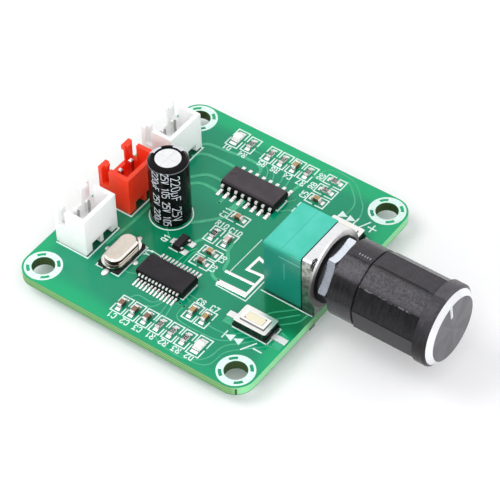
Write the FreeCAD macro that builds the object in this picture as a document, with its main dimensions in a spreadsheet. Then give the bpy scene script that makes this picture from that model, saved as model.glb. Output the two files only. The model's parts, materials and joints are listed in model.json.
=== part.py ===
import FreeCAD, Part
import math
import os
import Sketcher

# Audio amplifier board: a green circuit board with three sockets along its back edge, a capacitor,
# two chips, a crystal, small chip parts, two push buttons and a volume control with its knob.
# Millimetres. The origin is the middle of the board's top face; +Z is up and the knob points to -Y.

doc = FreeCAD.newDocument("amplifier_board")
sheet = doc.addObject("Spreadsheet::Sheet", "dim")

# Driving dimensions

DIMENSIONS = [
    ("board_width", 45.0), ("board_depth", 42.0), ("board_thickness", 1.6), ("board_corner", 3.2),
    ("mounting_inset_x", 3.2), ("mounting_inset_y", 3.25), ("mounting_hole", 3.5), ("pin_hole", 1.1),
    ("header_spacing", 10.55), ("header_edge", 4.675), ("header_length", 7.45),
    ("header_width", 5.75), ("header_top", 7.3), ("header_wall", 0.7), ("header_floor", 2.0),
    ("header_standoff", 0.4), ("header_gap", 3.74), ("header_sill", 3.75), ("header_relief", 0.45),
    ("header_lip", 0.85), ("side_slot", 1.35), ("side_sill", 4.1), ("front_notch", 2.0),
    ("front_notch_top", 1.85), ("post_lip", 0.4),
    ("pin_pitch", 2.5), ("pin_width", 0.64), ("pin_top", 6.1), ("pin_tail", 3.4), ("pin_setback", 0.575),
    ("can_place_x", 0.1), ("can_setback", 12.4), ("can_diameter", 6.06), ("can_top", 11.88),
    ("can_shoulder", 0.5), ("can_foot", 0.3), ("can_bead", 0.22), ("can_bead_height", 2.0),
    ("can_bead_width", 0.9), ("sleeve_wall", 0.12), ("sleeve_window", 4.5), ("sleeve_foot", 0.4),
    ("bung_diameter", 5.0), ("lead_pitch", 2.5),
    ("lead_wire", 0.5), ("lead_tail", 2.6),
    ("soic_place_x", 10.97), ("soic_place_y", 0.97), ("soic_length", 9.9), ("soic_pitch", 1.27),
    ("soic_lead", 0.42), ("radio_place_x", -10.95), ("radio_place_y", 0.95), ("radio_length", 8.66),
    ("radio_pitch", 0.635), ("radio_lead", 0.25), ("chip_width", 3.9), ("chip_span", 6.0),
    ("chip_gap", 0.12), ("chip_top", 1.6), ("chip_waist", 0.85), ("chip_bevel", 0.22),
    ("lead_strip", 0.2), ("dimple", 0.9),
    ("crystal_place_x", -11.05), ("crystal_place_y", 9.38), ("crystal_base_length", 7.0),
    ("crystal_base_width", 4.0), ("crystal_base_top", 0.75), ("crystal_flange_length", 7.2),
    ("crystal_flange_width", 3.86), ("crystal_flange_top", 0.95), ("crystal_can_length", 6.2),
    ("crystal_can_width", 3.1), ("crystal_top", 2.1), ("crystal_shoulder", 0.3),
    ("crystal_lead_span", 8.9), ("crystal_lead_width", 0.7), ("crystal_lead_strip", 0.12),
    ("sot_place_x", -4.15), ("sot_place_y", 3.5), ("sot_length", 2.9), ("sot_width", 1.3),
    ("sot_top", 1.1), ("sot_span", 2.5), ("sot_pitch", 1.9), ("sot_lead", 0.42),
    ("part_length", 1.6), ("part_width", 0.8), ("capacitor_height", 0.8), ("resistor_height", 0.45),
    ("end_band", 0.34), ("end_skin", 0.02),
    ("lamp_length", 2.0), ("lamp_width", 1.25), ("lamp_base", 0.45), ("lamp_top", 0.8),
    ("lamp_lens", 1.2),
    ("switch_inset_x", 11.45), ("switch_inset_y", 5.7), ("switch_width", 3.6),
    ("switch_length", 5.7), ("switch_base_extra", 0.3), ("switch_base_top", 0.7), ("switch_top", 1.62),
    ("button_width", 1.4), ("button_length", 3.1), ("button_top", 2.0), ("button_bevel", 0.07),
    ("shoulder_width", 2.05), ("shoulder_length", 4.2), ("shoulder_top", 1.86),
    ("button_flange", 0.25), ("button_travel", 0.25), ("button_play", 0.04), ("switch_lead", 1.1),
    ("switch_lead_span", 9.0),
    ("switch_lead_strip", 0.15),
    ("control_axis", 6.6), ("control_inset", 2.2), ("case_front_length", 3.3), ("case_rear_length", 3.3),
    ("terminal_setback", 1.1), ("terminal_row_gap", 3.2),
    ("control_width", 9.46), ("control_top", 11.0), ("control_bottom", 0.4), ("case_edge", 0.3),
    ("case_step", 0.08), ("case_step_height", 9.15), ("plate_width", 9.4), ("plate_thickness", 2.35),
    ("plate_bottom", 0.2), ("plate_corner", 0.7),
    ("washer_radius", 6.2), ("washer_thickness", 0.3), ("lock_radius", 5.3), ("lock_thickness", 0.6),
    ("lock_gap", 0.8), ("nut_flats", 9.2), ("nut_thickness", 1.5), ("nut_bevel", 0.35),
    ("thread_radius", 3.5), ("thread_length", 5.05), ("thread_play", 0.03), ("shaft_radius", 3.0),
    ("shaft_play", 0.05), ("rotor_radius", 3.7), ("rotor_thickness", 1.2), ("rotor_play", 0.3),
    ("shaft_slot", 0.9), ("shaft_slot_depth", 6.0), ("terminal_pitch", 2.5), ("terminal_width", 0.8),
    ("terminal_strip", 0.3), ("terminal_tail", 3.4), ("lug_span", 8.0), ("lug_width", 1.2),
    ("lug_strip", 0.7),
    ("knob_clearance", 0.65), ("knob_length", 17.48), ("knob_radius", 6.45), ("collar_radius", 6.0),
    ("collar_length", 4.1), ("collar_groove", 0.3), ("grip_radius", 6.3), ("band_length", 2.75),
    ("grip_flats", 10), ("grip_flat_depth", 0.36), ("band_shoulder", 0.4),
    ("cut_outer", 5.98), ("cut_inner", 5.18), ("cut_height", 0.7), ("socket_radius", 4.4),
    ("socket_depth", 3.0), ("face_wall", 2.4), ("pointer_width", 0.5), ("pointer_depth", 0.3),
    ("pointer_inner", 2.7), ("knob_turn", 8.6),
]
for row, (alias, size) in enumerate(DIMENSIONS, start=1):
    sheet.set(f"A{row}", alias.replace("_", " "))
    sheet.set(f"B{row}", str(size))
    sheet.setAlias(f"B{row}", alias)
doc.recompute()

VECTOR = FreeCAD.Vector
UP = VECTOR(0, 0, 1)
ACROSS = VECTOR(1, 0, 0)
finished = []


def number(text):
    """The value of an expression that is written with the sheet's names."""
    result = sheet.evalExpression(str(text))
    return float(getattr(result, "Value", result))


def keep(thing, label):
    """Mark an object as one finished sub-part, named after its file."""
    thing.Label = label
    finished.append(thing)
    return thing


def place(thing, along_x="0", along_y="0", along_z="0"):
    """Bind an object's position to the sheet."""
    for axis, text in (("x", along_x), ("y", along_y), ("z", along_z)):
        thing.setExpression(f"Placement.Base.{axis}", text)


def bind(thing, **texts):
    """Bind named sizes of an object to the sheet."""
    for name, text in texts.items():
        thing.setExpression(name, text)


# Sketches: each corner or centre is held by signed distances from the sketch's own origin

def new_body(name):
    return doc.addObject("PartDesign::Body", name)


def new_sketch(body, name, role="XY_Plane", lift="0"):
    sketch = body.newObject("Sketcher::SketchObject", name)
    plane = next(item for item in body.Origin.OriginFeatures if item.Role == role)
    sketch.AttachmentSupport = (plane, [""])
    sketch.MapMode = "FlatFace"
    sketch.setExpression("AttachmentOffset.Base.z", lift)
    return sketch


def hold(sketch, kind, line, point, text):
    axis = kind[-1].lower()
    value = number(text)
    where = sketch.addConstraint(Sketcher.Constraint(kind, -1, 1, line, point, value))
    name = f"{axis}_{line}_{point}"
    sketch.renameConstraint(where, name)
    sketch.setExpression(f"Constraints.{name}", text)


def outline(sketch, corners):
    """A closed run of straight lines through corners given as pairs of expressions."""
    first = sketch.GeometryCount
    points = [VECTOR(number(across), number(along), 0) for across, along in corners]
    count = len(points)
    for step in range(count):
        sketch.addGeometry(Part.LineSegment(points[step], points[(step + 1) % count]), False)
    for step in range(count):
        after = first + (step + 1) % count
        sketch.addConstraint(Sketcher.Constraint("Coincident", first + step, 2, after, 1))
    for step, (across, along) in enumerate(corners):
        hold(sketch, "DistanceX", first + step, 1, across)
        hold(sketch, "DistanceY", first + step, 1, along)


def rectangle(sketch, width, height, middle_x="0", middle_y="0"):
    left = f"{middle_x} - ({width}) / 2"
    right = f"{middle_x} + ({width}) / 2"
    low = f"{middle_y} - ({height}) / 2"
    high = f"{middle_y} + ({height}) / 2"
    outline(sketch, [(left, low), (right, low), (right, high), (left, high)])


def rounded_rectangle(sketch, width, height, corner):
    """Four quarter arcs joined by four straight lines, each tangent to its neighbours."""
    half_x = number(f"({width}) / 2 - ({corner})")
    half_y = number(f"({height}) / 2 - ({corner})")
    radius = number(corner)
    signs = [(1, 1), (-1, 1), (-1, -1), (1, -1)]
    for quarter, (right, top) in enumerate(signs):
        centre = VECTOR(right * half_x, top * half_y, 0)
        start = quarter * math.pi / 2
        arc = Part.ArcOfCircle(Part.Circle(centre, UP, radius), start, start + math.pi / 2)
        sketch.addGeometry(arc, False)
    for quarter in range(4):
        here = sketch.getPoint(quarter, 2)
        there = sketch.getPoint((quarter + 1) % 4, 1)
        sketch.addGeometry(Part.LineSegment(here, there), False)
    for quarter, (right, top) in enumerate(signs):
        sketch.addConstraint(Sketcher.Constraint("Tangent", quarter, 2, quarter + 4, 1))
        sketch.addConstraint(Sketcher.Constraint("Tangent", quarter + 4, 2, (quarter + 1) % 4, 1))
        hold(sketch, "DistanceX", quarter, 3, f"{right} * (({width}) / 2 - ({corner}))")
        hold(sketch, "DistanceY", quarter, 3, f"{top} * (({height}) / 2 - ({corner}))")
        size = sketch.addConstraint(Sketcher.Constraint("Radius", quarter, radius))
        sketch.renameConstraint(size, f"radius_{quarter}")
        sketch.setExpression(f"Constraints.radius_{quarter}", corner)


def circle(sketch, radius, middle_x="0", middle_y="0"):
    centre = VECTOR(number(middle_x), number(middle_y), 0)
    where = sketch.addGeometry(Part.Circle(centre, UP, number(radius)), False)
    hold(sketch, "DistanceX", where, 3, middle_x)
    hold(sketch, "DistanceY", where, 3, middle_y)
    size = sketch.addConstraint(Sketcher.Constraint("Radius", where, number(radius)))
    sketch.renameConstraint(size, f"radius_{where}")
    sketch.setExpression(f"Constraints.radius_{where}", radius)


# Solid features

def pad(body, name, sketch, length, down=False, taper=None):
    feature = body.newObject("PartDesign::Pad", name)
    feature.Profile = sketch
    feature.Reversed = down
    feature.setExpression("Length", length)
    if taper is not None:
        feature.TaperAngle = taper
    doc.recompute()
    return feature


def pocket(body, name, sketch, depth, up=False):
    before = body.Tip.Shape.Volume
    feature = body.newObject("PartDesign::Pocket", name)
    feature.Profile = sketch
    feature.Reversed = up
    feature.setExpression("Length", depth)
    doc.recompute()
    if feature.Shape.Volume > before - 1e-6:
        raise ValueError(f"{name} removes nothing")
    return feature


def pocket_through(body, name, sketch):
    before = body.Tip.Shape.Volume
    feature = body.newObject("PartDesign::Pocket", name)
    feature.Profile = sketch
    feature.Type = "ThroughAll"
    feature.Midplane = True
    doc.recompute()
    if feature.Shape.Volume > before - 1e-6:
        raise ValueError(f"{name} removes nothing")
    return feature


def turned(body, name, sketch):
    """A solid of revolution about the sketch's upright axis."""
    feature = body.newObject("PartDesign::Revolution", name)
    feature.Profile = sketch
    feature.ReferenceAxis = (sketch, ["V_Axis"])
    feature.Angle = 360
    doc.recompute()
    return feature


def rounded(body, name, edges, radius):
    base = body.Tip
    feature = body.newObject("PartDesign::Fillet", name)
    feature.Base = (base, edges)
    feature.setExpression("Radius", radius)
    doc.recompute()
    return feature


def bevelled(body, name, edges, size):
    base = body.Tip
    feature = body.newObject("PartDesign::Chamfer", name)
    feature.Base = (base, edges)
    feature.setExpression("Size", size)
    doc.recompute()
    return feature


def edge_names(shape, wanted):
    """Names of the edges for which wanted(edge) is true."""
    return [f"Edge{place}" for place, edge in enumerate(shape.Edges, start=1) if wanted(edge)]


def upright(edge):
    box = edge.BoundBox
    return box.XLength < 1e-6 and box.YLength < 1e-6


def level_at(height):
    def wanted(edge):
        box = edge.BoundBox
        return abs(box.ZMin - height) < 1e-5 and abs(box.ZMax - height) < 1e-5
    return wanted


# Solids that are put together from primitives

def block(name, length, width, height, x="0", y="0", z="0"):
    """A box that is centred on x and y and stands on z."""
    solid = doc.addObject("Part::Box", name)
    bind(solid, Length=length, Width=width, Height=height)
    place(solid, f"{x} - ({length}) / 2", f"{y} - ({width}) / 2", z)
    return solid


def rod(name, radius, height, x="0", y="0", z="0"):
    solid = doc.addObject("Part::Cylinder", name)
    bind(solid, Radius=radius, Height=height)
    place(solid, x, y, z)
    return solid


def joined(name, pieces):
    solid = doc.addObject("Part::MultiFuse", name)
    solid.Shapes = pieces
    return solid


def grouped(name, pieces):
    """Pieces that do not touch, kept together in one sub-part."""
    group = doc.addObject("Part::Compound", name)
    group.Links = pieces
    return group


def cut(name, base, tool):
    solid = doc.addObject("Part::Cut", name)
    solid.Base = base
    solid.Tool = tool
    return solid


# Circuit board with its mounting holes, pin holes and the slots for the volume control's lugs

HEADER_Y = "(dim.board_depth / 2 - dim.header_edge)"
CAN_Y = "(dim.board_depth / 2 - dim.can_setback)"
PIN_Y = f"({HEADER_Y} + dim.pin_setback)"
PLATE_BACK = "(dim.board_depth / 2 - dim.control_inset)"
CASE_SPLIT = f"({PLATE_BACK} - dim.case_front_length)"
FRONT_TERMINALS = f"(-{CASE_SPLIT} - dim.terminal_setback)"
TERMINAL_ROWS = (f"({FRONT_TERMINALS} + dim.terminal_row_gap)", FRONT_TERMINALS)
LUG_Y = f"(-{PLATE_BACK} - dim.plate_thickness / 2)"
SLOT_PLAY = "0.3"

board = new_body("pcb_body")
plan = new_sketch(board, "board_plan")
rectangle(plan, "dim.board_width", "dim.board_depth")
pad(board, "board_slab", plan, "dim.board_thickness", down=True)
rounded(board, "board_corners", edge_names(board.Tip.Shape, upright), "dim.board_corner")
plan = new_sketch(board, "mounting_hole_plan")
for side in ("-1", "1"):
    for end in ("-1", "1"):
        circle(plan, "dim.mounting_hole / 2", f"{side} * (dim.board_width / 2 - dim.mounting_inset_x)",
               f"{end} * (dim.board_depth / 2 - dim.mounting_inset_y)")
pocket_through(board, "mounting_holes", plan)
plan = new_sketch(board, "pin_hole_plan")
for header in (-1, 0, 1):
    for side in (-0.5, 0.5):
        circle(plan, "dim.pin_hole / 2", f"{header} * dim.header_spacing + {side} * dim.pin_pitch", PIN_Y)
for side in (-0.5, 0.5):
    circle(plan, f"(dim.lead_wire + {SLOT_PLAY}) / 2", f"dim.can_place_x + {side} * dim.lead_pitch", CAN_Y)
pocket_through(board, "pin_holes", plan)
plan = new_sketch(board, "slot_plan")
for side in (-0.5, 0.5):
    rectangle(plan, f"dim.lug_width + {SLOT_PLAY}", f"dim.lug_strip + {SLOT_PLAY}",
              f"{side} * dim.lug_span", LUG_Y)
for row in TERMINAL_ROWS:
    for column in (-1, 0, 1):
        rectangle(plan, f"dim.terminal_width + {SLOT_PLAY}", f"dim.terminal_strip + {SLOT_PLAY}",
                  f"{column} * dim.terminal_pitch", row)
pocket_through(board, "slots", plan)
keep(board, "pcb")


# Sockets: an open-backed box with corner posts, side slots, notches at the front and standoff feet

def header_housing(label, column):
    body = new_body(f"{label}_body")
    plan = new_sketch(body, f"{label}_plan", lift="dim.header_standoff")
    rectangle(plan, "dim.header_length", "dim.header_width")
    pad(body, f"{label}_block", plan, "dim.header_top - dim.header_standoff")
    cavity = new_sketch(body, f"{label}_cavity_plan", lift="dim.header_top")
    rectangle(cavity, "dim.header_length - 2 * dim.header_wall", "dim.header_width - 2 * dim.header_wall")
    pocket(body, f"{label}_cavity", cavity, "dim.header_top - dim.header_floor")
    opening = new_sketch(body, f"{label}_opening_plan", lift="dim.header_top")
    rectangle(opening, "dim.header_gap", "2 * dim.header_wall", "0", "dim.header_width / 2")
    pocket(body, f"{label}_opening", opening, "dim.header_top - dim.header_sill")
    slots = new_sketch(body, f"{label}_slot_plan", lift="dim.header_top")
    slot_y = "dim.header_width / 2 - dim.header_wall - dim.side_slot / 2 + 0.05"
    for side in (-0.5, 0.5):
        rectangle(slots, "2 * dim.header_wall", "dim.side_slot", f"{side} * dim.header_length", slot_y)
    pocket(body, f"{label}_slots", slots, "dim.header_top - dim.side_sill")
    relief = new_sketch(body, f"{label}_relief_plan", lift="dim.header_sill")
    rectangle(relief, "dim.header_gap * 1.5", "2 * dim.header_relief", "0", "dim.header_width / 2")
    pocket(body, f"{label}_relief", relief, "dim.header_top - dim.header_lip - dim.header_sill", up=True)
    lips = new_sketch(body, f"{label}_lip_plan", lift="dim.header_top")
    lip_x = "(dim.header_length / 2 - dim.header_wall - 0.4)"
    lip_y = "dim.header_width / 2 - dim.header_wall - dim.post_lip / 2"
    for side in ("-1", "1"):
        rectangle(lips, "0.9", "dim.post_lip", f"{side} * {lip_x}", lip_y)
    pad(body, f"{label}_lips", lips, "0.5", down=True)
    notches = new_sketch(body, f"{label}_notch_plan", lift="dim.header_standoff")
    for side in (-0.5, 0.5):
        rectangle(notches, "dim.front_notch", "2.4", f"{side} * (dim.pin_pitch + 0.1)",
                  "-dim.header_width / 2")
    pocket(body, f"{label}_notches", notches, "dim.front_notch_top - dim.header_standoff", up=True)
    feet = new_sketch(body, f"{label}_foot_plan", lift="dim.header_standoff")
    for side in (-0.5, 0.5):
        rectangle(feet, "0.8", "dim.header_width - 0.6", f"{side} * (dim.header_length - 1.1)")
    pad(body, f"{label}_feet", feet, "dim.header_standoff", down=True)
    holes = new_sketch(body, f"{label}_hole_plan", lift="dim.header_floor")
    for side in (-0.5, 0.5):
        rectangle(holes, "dim.pin_width", "dim.pin_width", f"{side} * dim.pin_pitch", "dim.pin_setback")
    pocket(body, f"{label}_holes", holes, "dim.header_floor")
    place(body, f"{column} * dim.header_spacing", HEADER_Y)
    keep(body, label)


def header_pins(label, column):
    body = new_body(f"{label}_body")
    body.AllowCompound = True
    plan = new_sketch(body, f"{label}_plan", lift="-dim.pin_tail")
    for side in (-0.5, 0.5):
        rectangle(plan, "dim.pin_width", "dim.pin_width", f"{side} * dim.pin_pitch")
    pad(body, f"{label}_pair", plan, "dim.pin_top + dim.pin_tail")
    shape = body.Tip.Shape
    ends = edge_names(shape, level_at(number("dim.pin_top")))
    ends += edge_names(shape, level_at(number("-dim.pin_tail")))
    bevelled(body, f"{label}_points", ends, "dim.pin_width * 0.3")
    place(body, f"{column} * dim.header_spacing", PIN_Y)
    keep(body, label)


for column, side in ((-1, "left"), (0, "middle"), (1, "right")):
    header_housing(f"{side}_socket", column)
    header_pins(f"{side}_socket_pins", column)


# Capacitor: an aluminium can with a rolled bead, a thin plastic sleeve curled over its shoulder,
# a rubber bung that stands on the board and two wires

CAN_RADIUS = "dim.can_diameter / 2"
CAN_PLACE = ("dim.can_place_x", CAN_Y)


def can_profile(body, name, radius, top, foot):
    """Half section of the can, or of the sleeve's outside, about the upright axis."""
    section = new_sketch(body, name, "XZ_Plane")
    outline(section, [
        ("0", foot), (radius, foot), (radius, "dim.can_bead_height - dim.can_bead_width / 2"),
        (f"{radius} - dim.can_bead", "dim.can_bead_height"),
        (radius, "dim.can_bead_height + dim.can_bead_width / 2"), (radius, f"{top} - dim.can_shoulder"),
        (f"{radius} - dim.can_shoulder", top), ("0", top)])
    return section


can = new_body("can_body")
turned(can, "can_turning", can_profile(can, "can_section", CAN_RADIUS, "dim.can_top", "dim.can_foot"))
place(can, *CAN_PLACE)
keep(can, "capacitor_can")

wrap = new_body("sleeve_outside")
wrap_radius = f"({CAN_RADIUS} + dim.sleeve_wall)"
wrap_top = "(dim.can_top + dim.sleeve_wall)"
turned(wrap, "sleeve_turning", can_profile(wrap, "sleeve_section", wrap_radius, wrap_top, "dim.sleeve_foot"))
place(wrap, *CAN_PLACE)
window = rod("sleeve_window_tool", "dim.sleeve_window / 2", "4 * dim.sleeve_wall", *CAN_PLACE,
             "dim.can_top - 2 * dim.sleeve_wall")
keep(cut("sleeve_open_at_top", cut("sleeve_over_can", wrap, can), window), "capacitor_sleeve")

keep(rod("bung", "dim.bung_diameter / 2", "dim.can_foot", *CAN_PLACE), "capacitor_bung")
wires = [rod(f"capacitor_wire_{place_of}", "dim.lead_wire / 2", "dim.lead_tail",
             f"dim.can_place_x + {side} * dim.lead_pitch", CAN_Y, "-dim.lead_tail")
         for place_of, side in ((1, "-0.5"), (2, "0.5"))]
keep(grouped("capacitor_wire_pair", wires), "capacitor_leads")


# Chips: a moulded body that tapers to its parting line, and two rows of bent leads

def chip_body(label, length, place_x, place_y):
    body = new_body(f"{label}_body")
    for half, down, height in (("upper", False, "dim.chip_top - dim.chip_waist"),
                               ("lower", True, "dim.chip_waist - dim.chip_gap")):
        plan = new_sketch(body, f"{label}_{half}_plan", lift="dim.chip_waist")
        rectangle(plan, "dim.chip_width", length)
        pad(body, f"{label}_{half}", plan, height, down=down, taper=-9)
    top = number("dim.chip_top")

    def pin_one_side(edge):
        box = edge.BoundBox
        return level_at(top)(edge) and box.XLength < 1e-6 and box.XMax < 0
    bevelled(body, f"{label}_bevel", edge_names(body.Tip.Shape, pin_one_side), "dim.chip_bevel")
    mark = new_sketch(body, f"{label}_dimple_plan", lift="dim.chip_top")
    circle(mark, "dim.dimple / 2", "0", f"({length}) / 2 - 1")
    pocket(body, f"{label}_dimple", mark, "0.06")
    place(body, place_x, place_y)
    keep(body, label)


def gull_leads(label, width, pitch, count, place_x, place_y, half_body="dim.chip_width / 2",
               half_span="dim.chip_span / 2", waist="dim.chip_waist"):
    """Bent strips that leave the body at its waist and end in flat feet, on both sides."""
    body = new_body(f"{label}_body")
    body.AllowCompound = True
    bend = new_sketch(body, f"{label}_section", "XZ_Plane",
                      lift=f"({count} - 1) / 2 * {pitch} - ({width}) / 2")
    strip = "dim.lead_strip"
    high = f"({waist} + {strip} / 2)"
    low = f"({waist} - {strip} / 2)"
    knee = f"(({half_body}) + 0.28)"
    outline(bend, [
        (half_body, low), (f"{knee} - {strip} * 0.45", low), (f"{knee} + 0.02", "0"), (half_span, "0"),
        (half_span, strip), (f"{knee} + 0.02 + {strip} * 0.8", strip), (f"{knee} + {strip} * 0.35", high),
        (half_body, high)])
    strip_pad = pad(body, f"{label}_strip", bend, width)
    if count > 1:
        row = body.newObject("PartDesign::LinearPattern", f"{label}_row")
        row.Originals = [strip_pad]
        row.Direction = (bend, ["N_Axis"])
        row.Reversed = True
        row.setExpression("Length", f"({count} - 1) * {pitch}")
        row.Occurrences = count
        body.Tip = row
        doc.recompute()
    place(body, place_x, place_y)
    return body


def two_sided(label, body, place_x, place_y):
    """The row of leads and its mirror image on the other side of the chip."""
    other = doc.addObject("Part::Mirroring", f"{label}_other_side")
    other.Source = body
    other.Normal = ACROSS
    other.setExpression("Base.x", place_x)
    other.setExpression("Base.y", place_y)
    keep(grouped(f"{label}_rows", [body, other]), label)


SOIC_PLACE = ("dim.soic_place_x", "dim.soic_place_y")
RADIO_PLACE = ("dim.radio_place_x", "dim.radio_place_y")
chip_body("amplifier_chip", "dim.soic_length", *SOIC_PLACE)
two_sided("amplifier_chip_leads",
          gull_leads("amplifier_chip_row", "dim.soic_lead", "dim.soic_pitch", 8, *SOIC_PLACE), *SOIC_PLACE)
chip_body("radio_chip", "dim.radio_length", *RADIO_PLACE)
two_sided("radio_chip_leads",
          gull_leads("radio_chip_row", "dim.radio_lead", "dim.radio_pitch", 12, *RADIO_PLACE), *RADIO_PLACE)


# Crystal: a lead strip at each end, a black base and a drawn metal can with a flange

def stadium(body, name, length, width, bottom, height):
    """A slab with very round corners."""
    plan = new_sketch(body, f"{name}_plan", lift=bottom)
    rounded_rectangle(plan, length, width, f"({width}) * 0.46")
    pad(body, f"{name}_slab", plan, height)


CRYSTAL_PLACE = ("dim.crystal_place_x", "dim.crystal_place_y")
base = new_body("crystal_base_body")
stadium(base, "crystal_base", "dim.crystal_base_length", "dim.crystal_base_width", "dim.crystal_lead_strip",
        "dim.crystal_base_top - dim.crystal_lead_strip")
feet = new_sketch(base, "crystal_foot_plan", lift="dim.crystal_lead_strip")
for side in (-0.5, 0.5):
    rectangle(feet, "dim.crystal_base_length - 2.6", "0.9", "0", f"{side} * (dim.crystal_base_width - 1.1)")
pad(base, "crystal_feet", feet, "dim.crystal_lead_strip", down=True)
place(base, *CRYSTAL_PLACE)
keep(base, "crystal_base")

shell = new_body("crystal_can_body")
stadium(shell, "crystal_flange", "dim.crystal_flange_length", "dim.crystal_flange_width",
        "dim.crystal_base_top", "dim.crystal_flange_top - dim.crystal_base_top")
stadium(shell, "crystal_cup", "dim.crystal_can_length", "dim.crystal_can_width", "dim.crystal_flange_top",
        "dim.crystal_top - dim.crystal_flange_top")
bevelled(shell, "crystal_cup_edge", edge_names(shell.Tip.Shape, level_at(number("dim.crystal_top"))),
         "dim.crystal_shoulder")
place(shell, *CRYSTAL_PLACE)
keep(shell, "crystal_can")

strips = []
for place_of, side in ((1, "-1"), (2, "1")):
    strips.append(block(f"crystal_strip_{place_of}", "dim.crystal_lead_span / 2 - 1.2",
                        "dim.crystal_lead_width", "dim.crystal_lead_strip",
                        f"dim.crystal_place_x + {side} * (dim.crystal_lead_span / 4 + 0.6)",
                        "dim.crystal_place_y"))
keep(grouped("crystal_strips", strips), "crystal_leads")


# Transistor: a small moulded body with one lead on one side and two on the other

SOT_PLACE = ("dim.sot_place_x", "dim.sot_place_y")
SOT_WAIST = "0.55"
moulding = new_body("transistor_body")
for half, down, height in (("upper", False, f"dim.sot_top - {SOT_WAIST}"),
                           ("lower", True, f"{SOT_WAIST} - 0.08")):
    plan = new_sketch(moulding, f"transistor_{half}_plan", lift=SOT_WAIST)
    rectangle(plan, "dim.sot_width", "dim.sot_length")
    pad(moulding, f"transistor_{half}", plan, height, down=down, taper=-9)
place(moulding, *SOT_PLACE)
moulding.Placement.Rotation = FreeCAD.Rotation(UP, 90)
keep(moulding, "transistor")

LEAD_SIZES = ("dim.sot_width / 2", "dim.sot_span / 2", SOT_WAIST)
single = gull_leads("transistor_single", "dim.sot_lead", "dim.sot_pitch", 1, *SOT_PLACE, *LEAD_SIZES)
single.Placement.Rotation = FreeCAD.Rotation(UP, 90)
double = gull_leads("transistor_double", "dim.sot_lead", "dim.sot_pitch", 2, *SOT_PLACE, *LEAD_SIZES)
double.Placement.Rotation = FreeCAD.Rotation(UP, -90)
keep(grouped("transistor_lead_set", [single, double]), "transistor_leads")


# Chip capacitors and resistors: a core with a metal band round each end, laid in rows

def chip_part(label, height, across, along, turned_by):
    core = block(f"{label}_core", "dim.part_length - 2 * dim.end_skin", "dim.part_width - 2 * dim.end_skin",
                 f"{height} - 2 * dim.end_skin", z="dim.end_skin")
    bands = [block(f"{label}_band_{end}", "dim.end_band", "dim.part_width", height,
                   f"{side} * (dim.part_length - dim.end_band) / 2")
             for end, side in ((1, "-1"), (2, "1"))]
    whole = joined(f"{label}_whole", [core] + bands)
    whole.Placement.Rotation = FreeCAD.Rotation(UP, turned_by)
    place(whole, across, along)
    keep(whole, label)


# Each row: its kinds in order (C capacitor, R resistor), first place, step to the next, turn
LEFT_ROW = "-dim.board_width / 2 + 3.8"
RIGHT_ROW = "dim.board_width / 2 - 3.44"
FRONT_ROW = "-dim.board_depth / 2 + 13.2"
PART_ROWS = [
    ("CCCRRR", (LEFT_ROW, "3.3"), ("0", "-2.32"), 0),
    ("R", (RIGHT_ROW, "7.47"), ("0", "0"), 0),
    ("RRCR", (RIGHT_ROW, "3.7"), ("0", "-2.345"), 0),
    ("CRR", ("dim.board_width / 2 - 7.5", FRONT_ROW), ("2.42", "0"), 90),
    ("CC", ("-dim.board_width / 2 + 8.58", "-6.04"), ("0", "-2.28"), 0),
    ("CC", ("-3.04", "-1.1"), ("-2.26", "0"), 90),
    ("RC", ("0.38", "0.76"), ("0", "-2.52"), 0),
    ("C", ("5.09", "-0.3"), ("0", "0"), 90),
]
counts = {"C": 0, "R": 0}
names = {"C": "chip_capacitor", "R": "chip_resistor"}
heights = {"C": "dim.capacitor_height", "R": "dim.resistor_height"}
for kinds, start, step, turned_by in PART_ROWS:
    for order, kind in enumerate(kinds):
        counts[kind] += 1
        chip_part(f"{names[kind]}_{counts[kind]}", heights[kind], f"{start[0]} + {order} * {step[0]}",
                  f"{start[1]} + {order} * {step[1]}", turned_by)


# Indicator lamps: a flat white base with a smaller lens block on it

def lamp(label, across, along):
    foot = block(f"{label}_foot", "dim.lamp_length", "dim.lamp_width", "dim.lamp_base")
    lens = block(f"{label}_lens_block", "dim.lamp_lens", "dim.lamp_width", "dim.lamp_top - dim.lamp_base",
                 z="dim.lamp_base")
    whole = joined(f"{label}_whole", [foot, lens])
    place(whole, across, along)
    keep(whole, label)


lamp("power_lamp", RIGHT_ROW, "10.05")
lamp("link_lamp", LEFT_ROW, "-10.81")


# Push buttons: a black base with two terminals, a flat frame, and a stepped button that stands in it

FRAME_LOW = "dim.switch_base_top"
BUTTON_LOW = "(dim.switch_base_top + dim.button_travel + 0.1)"
FLANGE_TOP = f"({BUTTON_LOW} + dim.button_flange)"


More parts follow.
